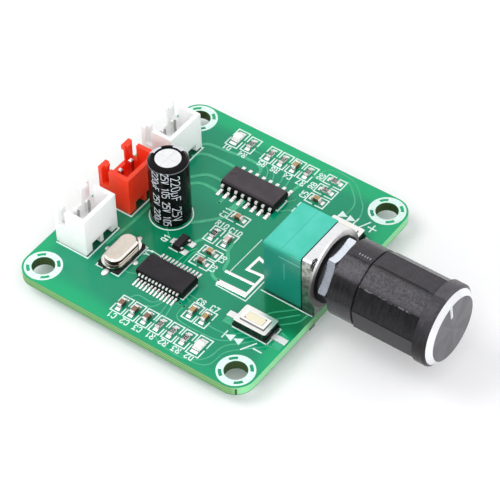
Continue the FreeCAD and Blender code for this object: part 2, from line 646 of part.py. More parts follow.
def push_button(side, sign):
    where = (f"{sign} * (dim.board_width / 2 - dim.switch_inset_x)",
             "-dim.board_depth / 2 + dim.switch_inset_y")
    plinth = new_body(f"{side}_switch_base_body")
    plan = new_sketch(plinth, f"{side}_switch_base_plan", lift="dim.switch_lead_strip")
    rectangle(plan, "dim.switch_width - 0.1", "dim.switch_length + dim.switch_base_extra")
    pad(plinth, f"{side}_switch_base_slab", plan, f"{FRAME_LOW} - dim.switch_lead_strip")
    feet = new_sketch(plinth, f"{side}_switch_foot_plan", lift="dim.switch_lead_strip")
    for half in (-0.5, 0.5):
        rectangle(feet, "0.7", "dim.switch_length - 1", f"{half} * (dim.switch_width - 1)")
    pad(plinth, f"{side}_switch_feet", feet, "dim.switch_lead_strip", down=True)
    place(plinth, *where)
    keep(plinth, f"{side}_switch_base")

    frame = new_body(f"{side}_switch_frame_body")
    plan = new_sketch(frame, f"{side}_frame_plan", lift=FRAME_LOW)
    rectangle(plan, "dim.switch_width", "dim.switch_length")
    pad(frame, f"{side}_frame_slab", plan, f"dim.switch_top - {FRAME_LOW}")
    rounded(frame, f"{side}_frame_corners", edge_names(frame.Tip.Shape, upright), "0.3")
    mouth = new_sketch(frame, f"{side}_frame_mouth_plan", lift="dim.switch_top")
    rectangle(mouth, "dim.shoulder_width + 2 * dim.button_play", "dim.shoulder_length + 2 * dim.button_play")
    pocket(frame, f"{side}_frame_mouth", mouth, f"dim.switch_top - {FRAME_LOW}")
    room = new_sketch(frame, f"{side}_frame_room_plan", lift=FRAME_LOW)
    rectangle(room, "dim.shoulder_width + 2 * dim.button_flange + 2 * dim.button_play",
              "dim.shoulder_length + 2 * dim.button_flange + 2 * dim.button_play")
    pocket(frame, f"{side}_frame_room", room, f"{FLANGE_TOP} - {FRAME_LOW}", up=True)
    place(frame, *where)
    keep(frame, f"{side}_switch_frame")

    button = new_body(f"{side}_button_body")
    plan = new_sketch(button, f"{side}_button_flange_plan", lift=BUTTON_LOW)
    rectangle(plan, "dim.shoulder_width + 2 * dim.button_flange",
              "dim.shoulder_length + 2 * dim.button_flange")
    pad(button, f"{side}_button_flange", plan, "dim.button_flange")
    plan = new_sketch(button, f"{side}_button_shoulder_plan", lift=FLANGE_TOP)
    rectangle(plan, "dim.shoulder_width", "dim.shoulder_length")
    pad(button, f"{side}_button_shoulder", plan, f"dim.shoulder_top - {FLANGE_TOP}")
    plan = new_sketch(button, f"{side}_button_plan", lift="dim.shoulder_top")
    rectangle(plan, "dim.button_width", "dim.button_length")
    pad(button, f"{side}_button_head", plan, "dim.button_top - dim.shoulder_top")
    top = level_at(number("dim.button_top"))
    bevelled(button, f"{side}_button_bevel", edge_names(button.Tip.Shape, top), "dim.button_bevel")
    place(button, *where)
    keep(button, f"{side}_button")

    tabs = []
    for end, half in ((1, "-1"), (2, "1")):
        tabs.append(block(f"{side}_switch_tab_{end}", "dim.switch_lead", "dim.switch_lead_span / 2 - 0.9",
                          "dim.switch_lead_strip", where[0],
                          f"{where[1]} + {half} * (dim.switch_lead_span / 4 + 0.45)"))
    keep(grouped(f"{side}_switch_tabs", tabs), f"{side}_switch_terminals")


push_button("left", "-1")
push_button("right", "1")


# Volume control: two moulded halves of a case, terminals, and a stack of metal parts on the thread

FLIP = FreeCAD.Rotation(ACROSS, 90)


def on_axis(thing, distance):
    """Stand a thing that was made along +Z on the control's axis, so that it points to -Y."""
    thing.Placement.Rotation = FLIP
    place(thing, "0", f"-({distance})", "dim.control_axis")


def side_steps(body, name, length):
    """Set both sides of a case half back a little below its top."""
    sides = new_sketch(body, f"{name}_step_plan", lift="dim.case_step_height")
    for half in (-0.5, 0.5):
        rectangle(sides, "2 * dim.case_step", f"{length} + 1", f"{half} * dim.control_width")
    pocket(body, f"{name}_steps", sides, "dim.case_step_height - dim.control_bottom")


case_height = "dim.control_top - dim.control_bottom"
rear = new_body("control_rear_body")
plan = new_sketch(rear, "control_rear_plan", lift="dim.control_bottom")
rectangle(plan, "dim.control_width", "dim.case_rear_length")
pad(rear, "control_rear_block", plan, case_height)


def outer_back_edge(edge):
    box = edge.BoundBox
    return box.YMin > number("dim.case_rear_length / 2") - 1e-5 and box.ZMin > number("dim.control_axis / 2")


rounded(rear, "control_rear_edges", edge_names(rear.Tip.Shape, outer_back_edge), "dim.case_edge")
side_steps(rear, "control_rear", "dim.case_rear_length")
feet = new_sketch(rear, "control_rear_foot_plan", lift="dim.control_bottom")
for half in (-0.5, 0.5):
    rectangle(feet, "0.9", "1.4", f"{half} * (dim.control_width - 1.6)")
pad(rear, "control_rear_feet", feet, "dim.control_bottom", down=True)
place(rear, "0", f"-{CASE_SPLIT} + dim.case_rear_length / 2")
keep(rear, "control_case_rear")

front = new_body("control_front_body")
plan = new_sketch(front, "control_front_plan", lift="dim.control_bottom")
rectangle(plan, "dim.control_width", "dim.case_front_length")
pad(front, "control_front_block", plan, case_height)
side_steps(front, "control_front", "dim.case_front_length")
well = new_sketch(front, "rotor_well_plan", "XZ_Plane", lift="dim.case_front_length / 2")
circle(well, "dim.rotor_radius + dim.rotor_play", "0", "dim.control_axis")
pocket(front, "rotor_well", well, "dim.rotor_thickness + 2 * dim.rotor_play")
place(front, "0", f"-{CASE_SPLIT} - dim.case_front_length / 2")
keep(front, "control_case_front")

pins = []
for row_number, row in enumerate(TERMINAL_ROWS, start=1):
    for column in (-1, 0, 1):
        pins.append(block(f"terminal_{row_number}_{column + 2}", "dim.terminal_width", "dim.terminal_strip",
                          "dim.terminal_tail + dim.control_bottom", f"{column} * dim.terminal_pitch", row,
                          "-dim.terminal_tail"))
keep(grouped("terminal_set", pins), "control_terminals")

plate = new_body("plate_body")
plan = new_sketch(plate, "plate_plan")
plate_middle = "(dim.control_top + dim.plate_bottom) / 2 - dim.control_axis"
rectangle(plan, "dim.plate_width", "dim.control_top - dim.plate_bottom", "0", plate_middle)
pad(plate, "plate_slab", plan, "dim.plate_thickness")
upper = number("dim.control_top - dim.control_axis")


def upper_corner(edge):
    return upright(edge) and edge.BoundBox.YMin > upper - 1e-5


rounded(plate, "plate_corners", edge_names(plate.Tip.Shape, upper_corner), "dim.plate_corner")
plan = new_sketch(plate, "thread_plan", lift="dim.plate_thickness")
circle(plan, "dim.thread_radius")
pad(plate, "thread_barrel", plan, "dim.thread_length")
barrel_end = number("dim.plate_thickness + dim.thread_length")
bevelled(plate, "barrel_end", edge_names(plate.Tip.Shape, level_at(barrel_end)), "0.25")
plan = new_sketch(plate, "bore_plan")
circle(plan, "dim.shaft_radius + dim.shaft_play")
pocket_through(plate, "bore", plan)
plan = new_sketch(plate, "lug_plan", lift="dim.plate_thickness / 2 - dim.lug_strip / 2")
lug_length = "dim.terminal_tail + dim.plate_bottom"
for half in (-0.5, 0.5):
    rectangle(plan, "dim.lug_width", f"{lug_length} + 0.4", f"{half} * dim.lug_span",
              f"dim.plate_bottom - dim.control_axis + 0.2 - ({lug_length}) / 2")
pad(plate, "lugs", plan, "dim.lug_strip")
on_axis(plate, PLATE_BACK)
keep(plate, "control_plate")

WASHER_BACK = f"{PLATE_BACK} + dim.plate_thickness"
LOCK_BACK = f"{WASHER_BACK} + dim.washer_thickness"
NUT_BACK = f"{LOCK_BACK} + dim.lock_thickness"
KNOB_BACK = f"{NUT_BACK} + dim.nut_thickness + dim.knob_clearance"
HOLE_RADIUS = "dim.thread_radius + dim.thread_play"

washer = cut("washer_ring", rod("washer_disc", "dim.washer_radius", "dim.washer_thickness"),
             rod("washer_hole", HOLE_RADIUS, "dim.washer_thickness"))
on_axis(washer, WASHER_BACK)
keep(washer, "control_washer")

lock = new_body("lock_body")
plan = new_sketch(lock, "lock_plan")
circle(plan, "dim.lock_radius")
pad(lock, "lock_disc", plan, "dim.lock_thickness")
plan = new_sketch(lock, "lock_hole_plan")
circle(plan, HOLE_RADIUS)
pocket_through(lock, "lock_hole", plan)
plan = new_sketch(lock, "lock_gap_plan")
rectangle(plan, "dim.lock_gap", "dim.lock_radius", "0", "-dim.lock_radius")
pocket_through(lock, "lock_split", plan)
on_axis(lock, LOCK_BACK)
keep(lock, "control_lock_ring")

prism = doc.addObject("Part::Prism", "nut_prism")
prism.Polygon = 6
bind(prism, Circumradius="dim.nut_flats / 2 / cos(30 deg)", Height="dim.nut_thickness")
blank = rod("nut_blank", "dim.nut_flats / 2 / cos(30 deg)", "dim.nut_thickness")
doc.recompute()
turned_blank = doc.addObject("Part::Chamfer", "nut_turned_blank")
turned_blank.Base = blank
rims = [place_of for place_of, edge in enumerate(blank.Shape.Edges, start=1) if edge.BoundBox.ZLength < 1e-6]
bevel = number("dim.nut_bevel")
turned_blank.Edges = [(rim, bevel * 0.5, bevel) for rim in rims]
hexagon = doc.addObject("Part::MultiCommon", "nut_hexagon")
hexagon.Shapes = [prism, turned_blank]
nut = cut("nut_drilled", hexagon, rod("nut_hole", HOLE_RADIUS, "dim.nut_thickness"))
on_axis(nut, NUT_BACK)
keep(nut, "control_nut")


# Shaft: a disc that runs in the case, a round stem and the saw cut at its end

shaft = new_body("shaft_body")
plan = new_sketch(shaft, "rotor_plan", lift="-dim.rotor_play - dim.rotor_thickness")
circle(plan, "dim.rotor_radius")
pad(shaft, "rotor", plan, "dim.rotor_thickness")
plan = new_sketch(shaft, "stem_plan", lift="-dim.rotor_play")
circle(plan, "dim.shaft_radius")
stem_end = f"({KNOB_BACK} + dim.knob_length - dim.face_wall - {PLATE_BACK})"
pad(shaft, "stem", plan, f"{stem_end} + dim.rotor_play")
plan = new_sketch(shaft, "saw_plan", lift=stem_end)
rectangle(plan, "dim.shaft_slot", "2 * dim.shaft_radius + 1")
pocket(shaft, "saw_cut", plan, "dim.shaft_slot_depth")
on_axis(shaft, PLATE_BACK)
keep(shaft, "control_shaft")


# Knob: a turned body with a collar, ten milled flats, an end band, a bright cut edge and a pointer

KNOB_TURN = FreeCAD.Rotation(UP, number("dim.knob_turn"))
knob = new_body("knob_body")
section = new_sketch(knob, "knob_section", "XZ_Plane")
grip_low = "(dim.collar_length + dim.collar_groove)"
band_low = "(dim.knob_length - dim.band_length)"
cut_low = "(dim.knob_length - dim.cut_height)"
groove_radius = "dim.collar_radius - dim.collar_groove"
outline(section, [
    ("0", "0"), ("dim.collar_radius", "0"), ("dim.collar_radius", "dim.collar_length"),
    (groove_radius, "dim.collar_length"), (groove_radius, grip_low), ("dim.grip_radius", grip_low),
    ("dim.grip_radius", band_low), ("dim.knob_radius", band_low),
    ("dim.knob_radius", f"{cut_low} - dim.band_shoulder"), ("dim.cut_outer", cut_low),
    ("dim.cut_inner", "dim.knob_length"), ("0", "dim.knob_length")])
turned(knob, "knob_turning", section)
plan = new_sketch(knob, "flat_plan", lift=grip_low)
flat_radius = "(dim.grip_radius - dim.grip_flat_depth)"
rectangle(plan, "2", "4.6", f"{flat_radius} + 1")
first_flat = pocket(knob, "flat", plan, f"{band_low} - {grip_low}", up=True)
flats = knob.newObject("PartDesign::PolarPattern", "flats")
flats.Originals = [first_flat]
flats.Axis = (plan, ["N_Axis"])
flats.Angle = 360
flats.setExpression("Occurrences", "dim.grip_flats")
knob.Tip = flats
doc.recompute()
plan = new_sketch(knob, "pointer_plan", lift="dim.knob_length")
rectangle(plan, "dim.pointer_width", "dim.cut_outer + 1 - dim.pointer_inner", "0",
          "(dim.cut_outer + 1 + dim.pointer_inner) / 2")
pocket(knob, "pointer", plan, "dim.pointer_depth")
plan = new_sketch(knob, "socket_plan")
circle(plan, "dim.socket_radius")
pocket(knob, "socket", plan, "dim.socket_depth", up=True)
plan = new_sketch(knob, "shaft_hole_plan")
circle(plan, "dim.shaft_radius")
pocket(knob, "shaft_hole", plan, "dim.knob_length - dim.face_wall", up=True)
on_axis(knob, KNOB_BACK)
knob.Placement.Rotation = FLIP * KNOB_TURN
keep(knob, "knob")


# Check every object, then write one file for each sub-part

doc.recompute()
for thing in doc.Objects:
    if "Invalid" in thing.State or "Error" in thing.State:
        raise ValueError(f"{thing.Name} failed: {thing.State}")
os.makedirs("parts", exist_ok=True)
for thing in finished:
    shape = thing.Shape
    if shape.isNull() or not shape.isValid() or not shape.Solids:
        raise ValueError(f"{thing.Label} has no valid solid")
    shape.exportStep(f"parts/{thing.Label}.step")
    print(f"{thing.Label}: {len(shape.Solids)} solid(s), {shape.Volume:.2f} mm3")
print(f"{len(finished)} sub-parts")
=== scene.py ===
# %% [markdown]
# # A small audio amplifier board
# This lesson dresses a CAD model of a green circuit board with three sockets, a capacitor, two chips, a crystal,
# small chip parts, push buttons and a volume control with its knob. The CAD model is the fixed frame: its solids
# keep their place and size, and Blender adds what a drawing office leaves out, such as solder, printed marks,
# copper tracks and surface finishes. Everything shares one frame, so no piece has to be fitted by eye.

# %% Load the frame
import json
import math

import bpy
from mathutils import Matrix, Vector


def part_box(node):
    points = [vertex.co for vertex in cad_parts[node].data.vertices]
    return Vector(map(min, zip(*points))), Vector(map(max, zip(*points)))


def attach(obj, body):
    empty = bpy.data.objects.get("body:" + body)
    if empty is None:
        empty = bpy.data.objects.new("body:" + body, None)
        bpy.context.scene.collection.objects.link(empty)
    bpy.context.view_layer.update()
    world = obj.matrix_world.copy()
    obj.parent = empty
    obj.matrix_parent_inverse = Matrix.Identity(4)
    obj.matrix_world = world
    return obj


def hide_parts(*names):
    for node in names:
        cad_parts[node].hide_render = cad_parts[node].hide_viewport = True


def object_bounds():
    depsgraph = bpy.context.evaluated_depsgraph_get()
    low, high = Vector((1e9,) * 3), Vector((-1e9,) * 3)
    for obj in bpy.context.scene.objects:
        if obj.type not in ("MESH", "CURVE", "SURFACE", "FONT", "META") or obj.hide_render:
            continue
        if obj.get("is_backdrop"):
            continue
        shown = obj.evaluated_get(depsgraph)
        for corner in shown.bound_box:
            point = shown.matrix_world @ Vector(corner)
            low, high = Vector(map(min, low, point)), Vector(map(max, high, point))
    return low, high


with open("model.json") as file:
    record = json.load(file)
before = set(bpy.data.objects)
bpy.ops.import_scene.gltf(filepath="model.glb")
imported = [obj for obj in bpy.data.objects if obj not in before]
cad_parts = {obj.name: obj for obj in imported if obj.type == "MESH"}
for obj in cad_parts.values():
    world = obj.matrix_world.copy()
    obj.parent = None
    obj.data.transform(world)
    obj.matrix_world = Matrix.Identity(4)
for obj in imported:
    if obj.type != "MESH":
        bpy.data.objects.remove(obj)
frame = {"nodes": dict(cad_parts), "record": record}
cad_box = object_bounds()
scene = bpy.context.scene
MM = 0.001

# %% [markdown]
# ## Camera
# The camera looks down on the board from its front left corner, as from across a desk with a long lens. A long
# lens far away keeps the board's edges nearly parallel. The direction is written as the vector from the board to
# the camera, and the two other axes of the camera follow from it, with a small roll. Aiming with a constraint
# would also work, but a constraint can't hold the roll.

# %% Camera
LENS_MM = 174.71
CAMERA_PLACE = Vector((-196.46, -156.10, 263.21)) * MM
CAMERA_BACK = Vector((-0.5455, -0.4162, 0.7275)).normalized()
CAMERA_ROLL = math.radians(-1.73)

level = Vector((0, 0, 1)).cross(CAMERA_BACK).normalized()
upright = CAMERA_BACK.cross(level)
right = level * math.cos(CAMERA_ROLL) + upright * math.sin(CAMERA_ROLL)
upward = upright * math.cos(CAMERA_ROLL) - level * math.sin(CAMERA_ROLL)
camera = bpy.data.objects.new("camera", bpy.data.cameras.new("camera"))
camera.data.lens = LENS_MM
camera.data.sensor_width = 36.0
camera.data.clip_start = 0.01
camera.matrix_world = Matrix.Translation(CAMERA_PLACE) @ Matrix((right, upward, CAMERA_BACK)).transposed().to_4x4()
scene.collection.objects.link(camera)
scene.camera = camera
scene.view_settings.view_transform = "Standard"
print("camera at", [round(c / MM) for c in CAMERA_PLACE], "mm")

# %% [markdown]
# ## Finishes as Python expressions
# A finish is a Principled shader and a few nodes that vary it. Wiring nodes by hand hides the idea behind the
# plumbing, so two small classes do it here. `Wire` stands for a node's output: adding, multiplying or comparing
# wires adds a Math node, so `1 - mask` works as it does with numbers. A mask is a wire that is one where a tone
# belongs and zero elsewhere. Masks multiply for "both", and `peak` means "either".


# %% Wire
def operator(operation, swapped=False):
    """The method behind a Python operator: it adds one Math node."""
    def method(self, other):
        return self.math(operation, other, self) if swapped else self.math(operation, self, other)
    return method


class Wire:
    """A node's output that Python can calculate with."""

    def __init__(self, finish, socket):
        self.finish = finish
        self.socket = socket

    def math(self, operation, *values):
        return self.finish.node("Math", {"operation": operation}, dict(enumerate(values)))

    __add__, __radd__ = operator("ADD"), operator("ADD", True)
    __sub__, __rsub__ = operator("SUBTRACT"), operator("SUBTRACT", True)
    __mul__, __rmul__ = operator("MULTIPLY"), operator("MULTIPLY", True)
    __gt__, __lt__ = operator("GREATER_THAN"), operator("LESS_THAN")

    def __abs__(self):
        return self.math("ABSOLUTE", self)

    def sine(self):
        return self.math("SINE", self)

    def peak(self, other):
        """The larger of two values."""
        return self.math("MAXIMUM", self, other)

    def near(self, middle, half):
        """A mask of the values that are less than half away from a middle."""
        return abs(self - middle) < half

    def between(self, low, high):
        return (self > low) * (self < high)

    def fade(self, low, high, start=0.0, end=1.0):
        """A soft step from a start to an end, where the value goes from low to high."""
        return self.finish.node("MapRange", {"interpolation_type": "SMOOTHSTEP"},
                                {"Value": self, "From Min": low, "From Max": high, "To Min": start, "To Max": end})

    def fall(self, low, high, start=1.0):
        """A soft step down to nothing."""
        return self.fade(low, high, start, 0.0)


def distance(across, along):
    """How far a point is from an axis, from its two offsets."""
    return across.math("SQRT", across * across + along * along)


print("wires can be calculated with")

# %% [markdown]
# ### Colours and the material
# Colours are written as a screen shows them and turned into the shader's own values. `Finish` makes the material,
# and its `node` method makes any node from its type, its settings and its inputs. Positions are in millimetres on
# the object itself, so a pattern stays on its piece when the piece moves. `layer` lays one tone over another, each
# where its mask says, as a painter would.


# %% Colours
def paint(red, green, blue):
    """A colour as a screen shows it, 0 to 255, turned into the shader's linear values."""
    def linear(level):
        share = level / 255
        return share / 12.92 if share <= 0.04045 else ((share + 0.055) / 1.055) ** 2.4
    return (linear(red), linear(green), linear(blue), 1.0)


def grey(level):
    """A grey in linear values, from 0 for black to 1 for white."""
    return (level, level, level, 1.0)


print("white paint:", paint(255, 255, 255))


# %% Finish
class Finish:
    """One material: a Principled shader and the nodes that vary it over the piece."""

    def __init__(self, name, colour, roughness, metallic=0.0, **constants):
        self.name = name
        self.material = bpy.data.materials.new(name)
        self.material.use_nodes = True
        self.tree = self.material.node_tree
        self.shader = self.tree.nodes["Principled BSDF"]
        self.shader.inputs["Base Color"].default_value = colour
        self.shader.inputs["Roughness"].default_value = roughness
        self.shader.inputs["Metallic"].default_value = metallic
        for socket, value in constants.items():
            self.shader.inputs[socket.replace("_", " ")].default_value = value
        self.material.diffuse_color = colour

    def node(self, kind, settings=None, inputs=None, output=0):
        made = self.tree.nodes.new("ShaderNode" + kind)
        for setting, value in (settings or {}).items():
            setattr(made, setting, value)
        for socket, value in (inputs or {}).items():
            if isinstance(value, Wire):
                self.tree.links.new(value.socket, made.inputs[socket])
            else:
                made.inputs[socket].default_value = value
        return Wire(self, made.outputs[output])

    def feed(self, socket, wire):
        self.tree.links.new(wire.socket, self.shader.inputs[socket])

    def parts(self, vector):
        """A vector's three numbers."""
        made = self.node("SeparateXYZ", inputs={0: vector})
        return [Wire(self, socket) for socket in made.socket.node.outputs]

    def place(self):
        spot = self.node("TexCoord", output="Object")
        return self.node("VectorMath", {"operation": "SCALE"}, {0: spot, "Scale": 1 / MM})

    def axes(self):
        return self.parts(self.place())

    def facing(self):
        """The way that the surface looks."""
        return self.parts(self.node("NewGeometry", output="Normal"))

    def noise(self, scale, detail=2.0, stretch=(1, 1, 1), rough=0.5):
        spot = self.node("VectorMath", {"operation": "MULTIPLY"}, {0: self.place(), 1: stretch})
        return self.node("TexNoise", inputs={"Vector": spot, "Scale": scale, "Detail": detail, "Roughness": rough})

    def blend(self, mask, first, second):
        return self.node("Mix", {"data_type": "RGBA"}, {0: mask, 6: first, 7: second}, output=2)

    def clouds(self, first, second, scale, detail=2.0, low=0.3, high=0.7):
        """Two tones in soft patches."""
        return self.blend(self.noise(scale, detail).fade(low, high), first, second)

    def layer(self, skin, *coats):
        """A skin with tones laid over it in turn, each where its mask says."""
        for mask, tone in coats:
            skin = self.blend(mask, skin, tone)
        return skin

    def paint_over(self, *coats):
        self.feed("Base Color", self.layer(self.skin, *coats))

    def bump(self, height, depth):
        self.feed("Normal", self.node("Bump", inputs={"Height": height, "Distance": depth * MM, "Strength": 1.0}))


print("finishes can be made")

# %% [markdown]
# ## Floor, world and lamps
# The board stands on the tips of its pins on a white table. A photograph of this kind uses one large soft light
# above and behind the object and white walls that fill the shadows. Here that is one wide area lamp, a weaker one
# from the left and a pale world. The floor is an honest 88 % white that takes the shadow, and it glows a little
# for what looks at it, so that the background comes out white without more light on the object.

# %% Floor
FLOOR_Z = -3.42
FLOOR_HALF = 1500
FLOOR_WHITE, FLOOR_GLOW = 0.88, 0.09
CORNERS = ((-1, -1), (1, -1), (1, 1), (-1, 1))

table = bpy.data.meshes.new("table")
table.from_pydata([(x * FLOOR_HALF * MM, y * FLOOR_HALF * MM, FLOOR_Z * MM) for x, y in CORNERS], [],
                  [(0, 1, 2, 3)])
floor = bpy.data.objects.new("table", table)
scene.collection.objects.link(floor)
floor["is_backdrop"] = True

paper = Finish("white_table", grey(FLOOR_WHITE), 0.9, Specular_IOR_Level=0.1, Emission_Strength=1.0)


def looked_at(finish):
    """One for camera, glossy and transmission rays, which see the background, and zero for the rest."""
    by_camera, by_mirror, by_glass = [finish.node("LightPath", output=kind)
                                      for kind in ("Is Camera Ray", "Is Glossy Ray", "Is Transmission Ray")]
    return by_camera.peak(by_mirror.peak(by_glass))


paper.feed("Emission Color", paper.blend(looked_at(paper), grey(0.0), grey(FLOOR_GLOW)))
table.materials.append(paper.material)
print("floor at", FLOOR_Z, "mm")

# %% [markdown]
# ### The room
# Bare metal shows what is around it, so the room matters as much as the lamps. Its walls are white, a little
# greyer overhead, and there is one dark doorway at the left that only mirrors see. The light that falls on the
# board comes from the same world, with more of it from the front, where a photographer puts a white card.


# %% World
class Surroundings(Finish):
    """The world has a Background node where a material has its shader."""

    def __init__(self, world):
        self.material = world
        world.use_nodes = True
        self.tree = world.node_tree
        self.shader = self.tree.nodes["Background"]


WORLD_LIGHT = 0.58
COOLER = 1.02
CARD_LIGHT, CARD_WAY = 1.35, (-0.34, -0.94, 0.0)
DOORWAY_TONE, DOORWAY_WAY = (0.32, 0.33, 0.35, 1), (-0.905, 0.42, 0.03)
OVERHEAD_TONE = (0.88, 0.89, 0.91, 1)

scene.world = bpy.data.worlds.new("studio")
studio = Surroundings(scene.world)
ray_way = studio.node("TexCoord", output="Generated")


def towards(way):
    """How much a ray heads the given way, from 1 straight on to 0 at the side."""
    return studio.node("VectorMath", {"operation": "DOT_PRODUCT"}, {0: ray_way, 1: way}, output=1).peak(0.0)


overhead = studio.parts(ray_way)[2].fade(0.74, 0.98)
doorway = towards(DOORWAY_WAY).fade(0.86, 0.97) * studio.node("LightPath", output="Is Glossy Ray")
walls = studio.layer(grey(1.0), (overhead, OVERHEAD_TONE), (doorway, DOORWAY_TONE))
light = WORLD_LIGHT + towards(CARD_WAY) * CARD_LIGHT
soft = studio.node("CombineXYZ", inputs={0: light, 1: light, 2: light * COOLER})
studio.feed("Color", studio.blend(looked_at(studio), soft, walls))
print("world light", WORLD_LIGHT)


# %% Lamps
def area_lamp(name, place, size, watts):
    lamp = bpy.data.lights.new(name, "AREA")
    lamp.shape = "SQUARE"
    lamp.size = size * MM
    lamp.energy = watts
    holder = bpy.data.objects.new(name, lamp)
    spot = Vector(place) * MM
    holder.location = spot
    holder.rotation_euler = (-spot).to_track_quat("-Z", "Y").to_euler()
    scene.collection.objects.link(holder)


area_lamp("key_lamp", (-190, 330, 560), 380, 1.5)
area_lamp("side_lamp", (-520, -60, 260), 260, 0.5)
print("two lamps")

# %% [markdown]
# ## The board
# A circuit board is green lacquer over copper and glass cloth. The lacquer is thin and glossy, so a clear coat
# carries the shine, and a slow noise gives the slightly uneven green of a real board. Painted light makes the green
# lighter towards the board's edges and in a slow gradient across it. Painted shade darkens it under the sockets and
# the chips' leads and beside the control and the capacitor, where it is also a painted reflection of their dark
# sides.

# %% Lacquer
MASK_GREEN = paint(0, 142, 103)
MASK_LIGHT = paint(0, 170, 112)
MASK_SHADED = paint(0, 112, 68)
PAINTED_LEAD_SHADE = paint(4, 34, 22)
PAINTED_SOCKET_SHADE = paint(2, 62, 42)
BOARD_HALF_X, BOARD_HALF_Y = 22.5, 21.0
SOCKET_STEP, SOCKET_HALF, SOCKET_FRONT, SOCKET_BACK = 10.55, 3.78, 13.3, 19.2

lacquer = Finish("solder_mask", MASK_GREEN, 0.2, Specular_IOR_Level=0.38, Coat_Weight=0.06, Coat_Roughness=0.05)
bx, by, bz = lacquer.axes()
_, ny, nz = lacquer.facing()
upper_face = nz > 0.5
# painted light: the green turns lighter near the board's edges and in a slow gradient across it
lit_near_edge = (abs(bx) * (1 / BOARD_HALF_X)).peak(abs(by) * (1 / BOARD_HALF_Y)).fade(0.79, 0.98)
west_shading = bx.fall(-19.0, -13.0)
uneven_and_lit = lacquer.noise(0.07) * 0.5 + lit_near_edge * (0.6 - west_shading * 0.14) + (west_shading * by * 0.008 + bx * 0.002)
# painted shade and a painted reflection of the dark control and capacitor, and painted shade under the leads and
# sockets
control_shade_and_reflection = abs(bx + 6.4).fall(1.6, 4.6) * (by + 12.2 - (bx + 4.7) * 0.76).fall(-1.0, 1.0)
capacitor_shade_and_reflection = distance(bx + 4.4, by - 5.6).fall(2.6, 6.0)
radio_chip_lead_shade = bx.near(-13.3, 0.42) * by.near(0.95, 3.9)
amplifier_lead_shade = bx.near(8.6, 0.74) * by.near(0.97, 4.8)
socket_shade = abs(bx).near(SOCKET_STEP, SOCKET_HALF) + bx.near(0.0, SOCKET_HALF)
socket_shade = socket_shade * by.between(SOCKET_FRONT, SOCKET_BACK)
green = lacquer.layer(lacquer.blend(uneven_and_lit.fade(0.25, 0.85), MASK_GREEN, MASK_LIGHT),
                      (control_shade_and_reflection.peak(capacitor_shade_and_reflection * 0.55) * upper_face, MASK_SHADED),
                      ((radio_chip_lead_shade + amplifier_lead_shade) * upper_face, PAINTED_LEAD_SHADE),
                      (socket_shade * upper_face * 0.75, PAINTED_SOCKET_SHADE))
print("lacquer made")

# %% [markdown]
# ### The sawn edge
# The board's sawn edge shows the bare laminate: pale and green bands of glass cloth and a rim of lacquer above and
# below, and it is darker towards the bottom. Painted light makes the faces that look along Y lighter green, painted
# shade darkens the walls of the screw holes, and a painted shadow darkens the edge beneath the knob. The CAD board
# is one solid, so its finish has to tell lacquer from edge: a face that looks up or down is lacquer, and any other
# is laminate.

# %% Sawn edge
LAMINATE = paint(88, 144, 82)
LAMINATE_PALE = paint(134, 184, 116)
LAMINATE_LIT_SIDE = paint(146, 228, 168)
EDGE_BOTTOM_TONE = paint(96, 100, 66)
EDGE_SHADE_AND_MARK = paint(52, 78, 30)
HOLE_X, HOLE_Y = 19.3, 17.75

layers = ((bz * 14.0).sine() + lacquer.noise(0.9, 3.0, (1, 1, 6)) * 1.6).fade(0.2, 1.7)
rim = abs(bz + 0.8).fade(0.70, 0.78)
# a painted shadow on the edge beneath the knob, painted shade in the screw holes, and a dark tick mark
knob_shadow_on_edge = abs(bx - 0.5).fall(5.0, 8.0, 0.55) * (by < -20.5)
hole_wall_shade = distance(abs(bx) - HOLE_X, abs(by) - HOLE_Y) < 2.2
tick = (distance(bx + 22.0, by + 19.7) < 0.2) * (bz < -0.35)
# painted light on the faces that look along Y; the edge is darker towards the bottom
edge = lacquer.layer(lacquer.blend(layers * bz.fade(-1.5, -0.9, 0.35, 1.0), LAMINATE, LAMINATE_PALE),
                     (abs(ny).fade(0.3, 0.8, 0.0, 0.75), LAMINATE_LIT_SIDE), (bz.fall(-1.55, -1.3, 0.6), EDGE_BOTTOM_TONE),
                     (rim * 0.65, MASK_LIGHT), (knob_shadow_on_edge, EDGE_SHADE_AND_MARK), (hole_wall_shade.peak(tick), EDGE_SHADE_AND_MARK))
lying = abs(nz).fade(0.5, 0.7)
lacquer.feed("Base Color", lacquer.blend(lying, edge, green))
lacquer.feed("Roughness", 0.62 - lying * 0.49)
lacquer.feed("Coat Weight", lying * 0.06)
lacquer.bump(lacquer.noise(6.0) * 0.5 + lacquer.noise(0.8, 1.0), 0.006)
print("board finish made")

# %% [markdown]
# ## Moulded plastics
# The sockets are moulded nylon in white and red, the volume control's case is teal, the switch and crystal sit on
# black bases, and each button is beige. Moulded plastic has one colour all through. What makes it look real is a
# faint cloudiness, a shine that varies a little, and a fine grain from the mould. One function makes them all, so
# they differ only in colour and shine, and it can give a piece a painted shade on its upright sides.


# %% Plastics
def moulded(name, colour, second, roughness, grain=0.004, scale=9.0, shaded_sides=None, **constants):
    """A clouded plastic, whose upright faces can get a painted shade."""
    finish = Finish(name, colour, roughness, **constants)
    finish.skin = finish.clouds(colour, second, 0.35, 3.0)
    # a painted shade on upright faces
    if shaded_sides:
        finish.skin = finish.blend(finish.facing()[2].fade(0.6, 0.9), shaded_sides, finish.skin)
    finish.feed("Base Color", finish.skin)
    finish.feed("Roughness", roughness - 0.05 + finish.noise(1.7, 3.0) * 0.1)
    finish.bump(finish.noise(scale, 3.0), grain)
    return finish


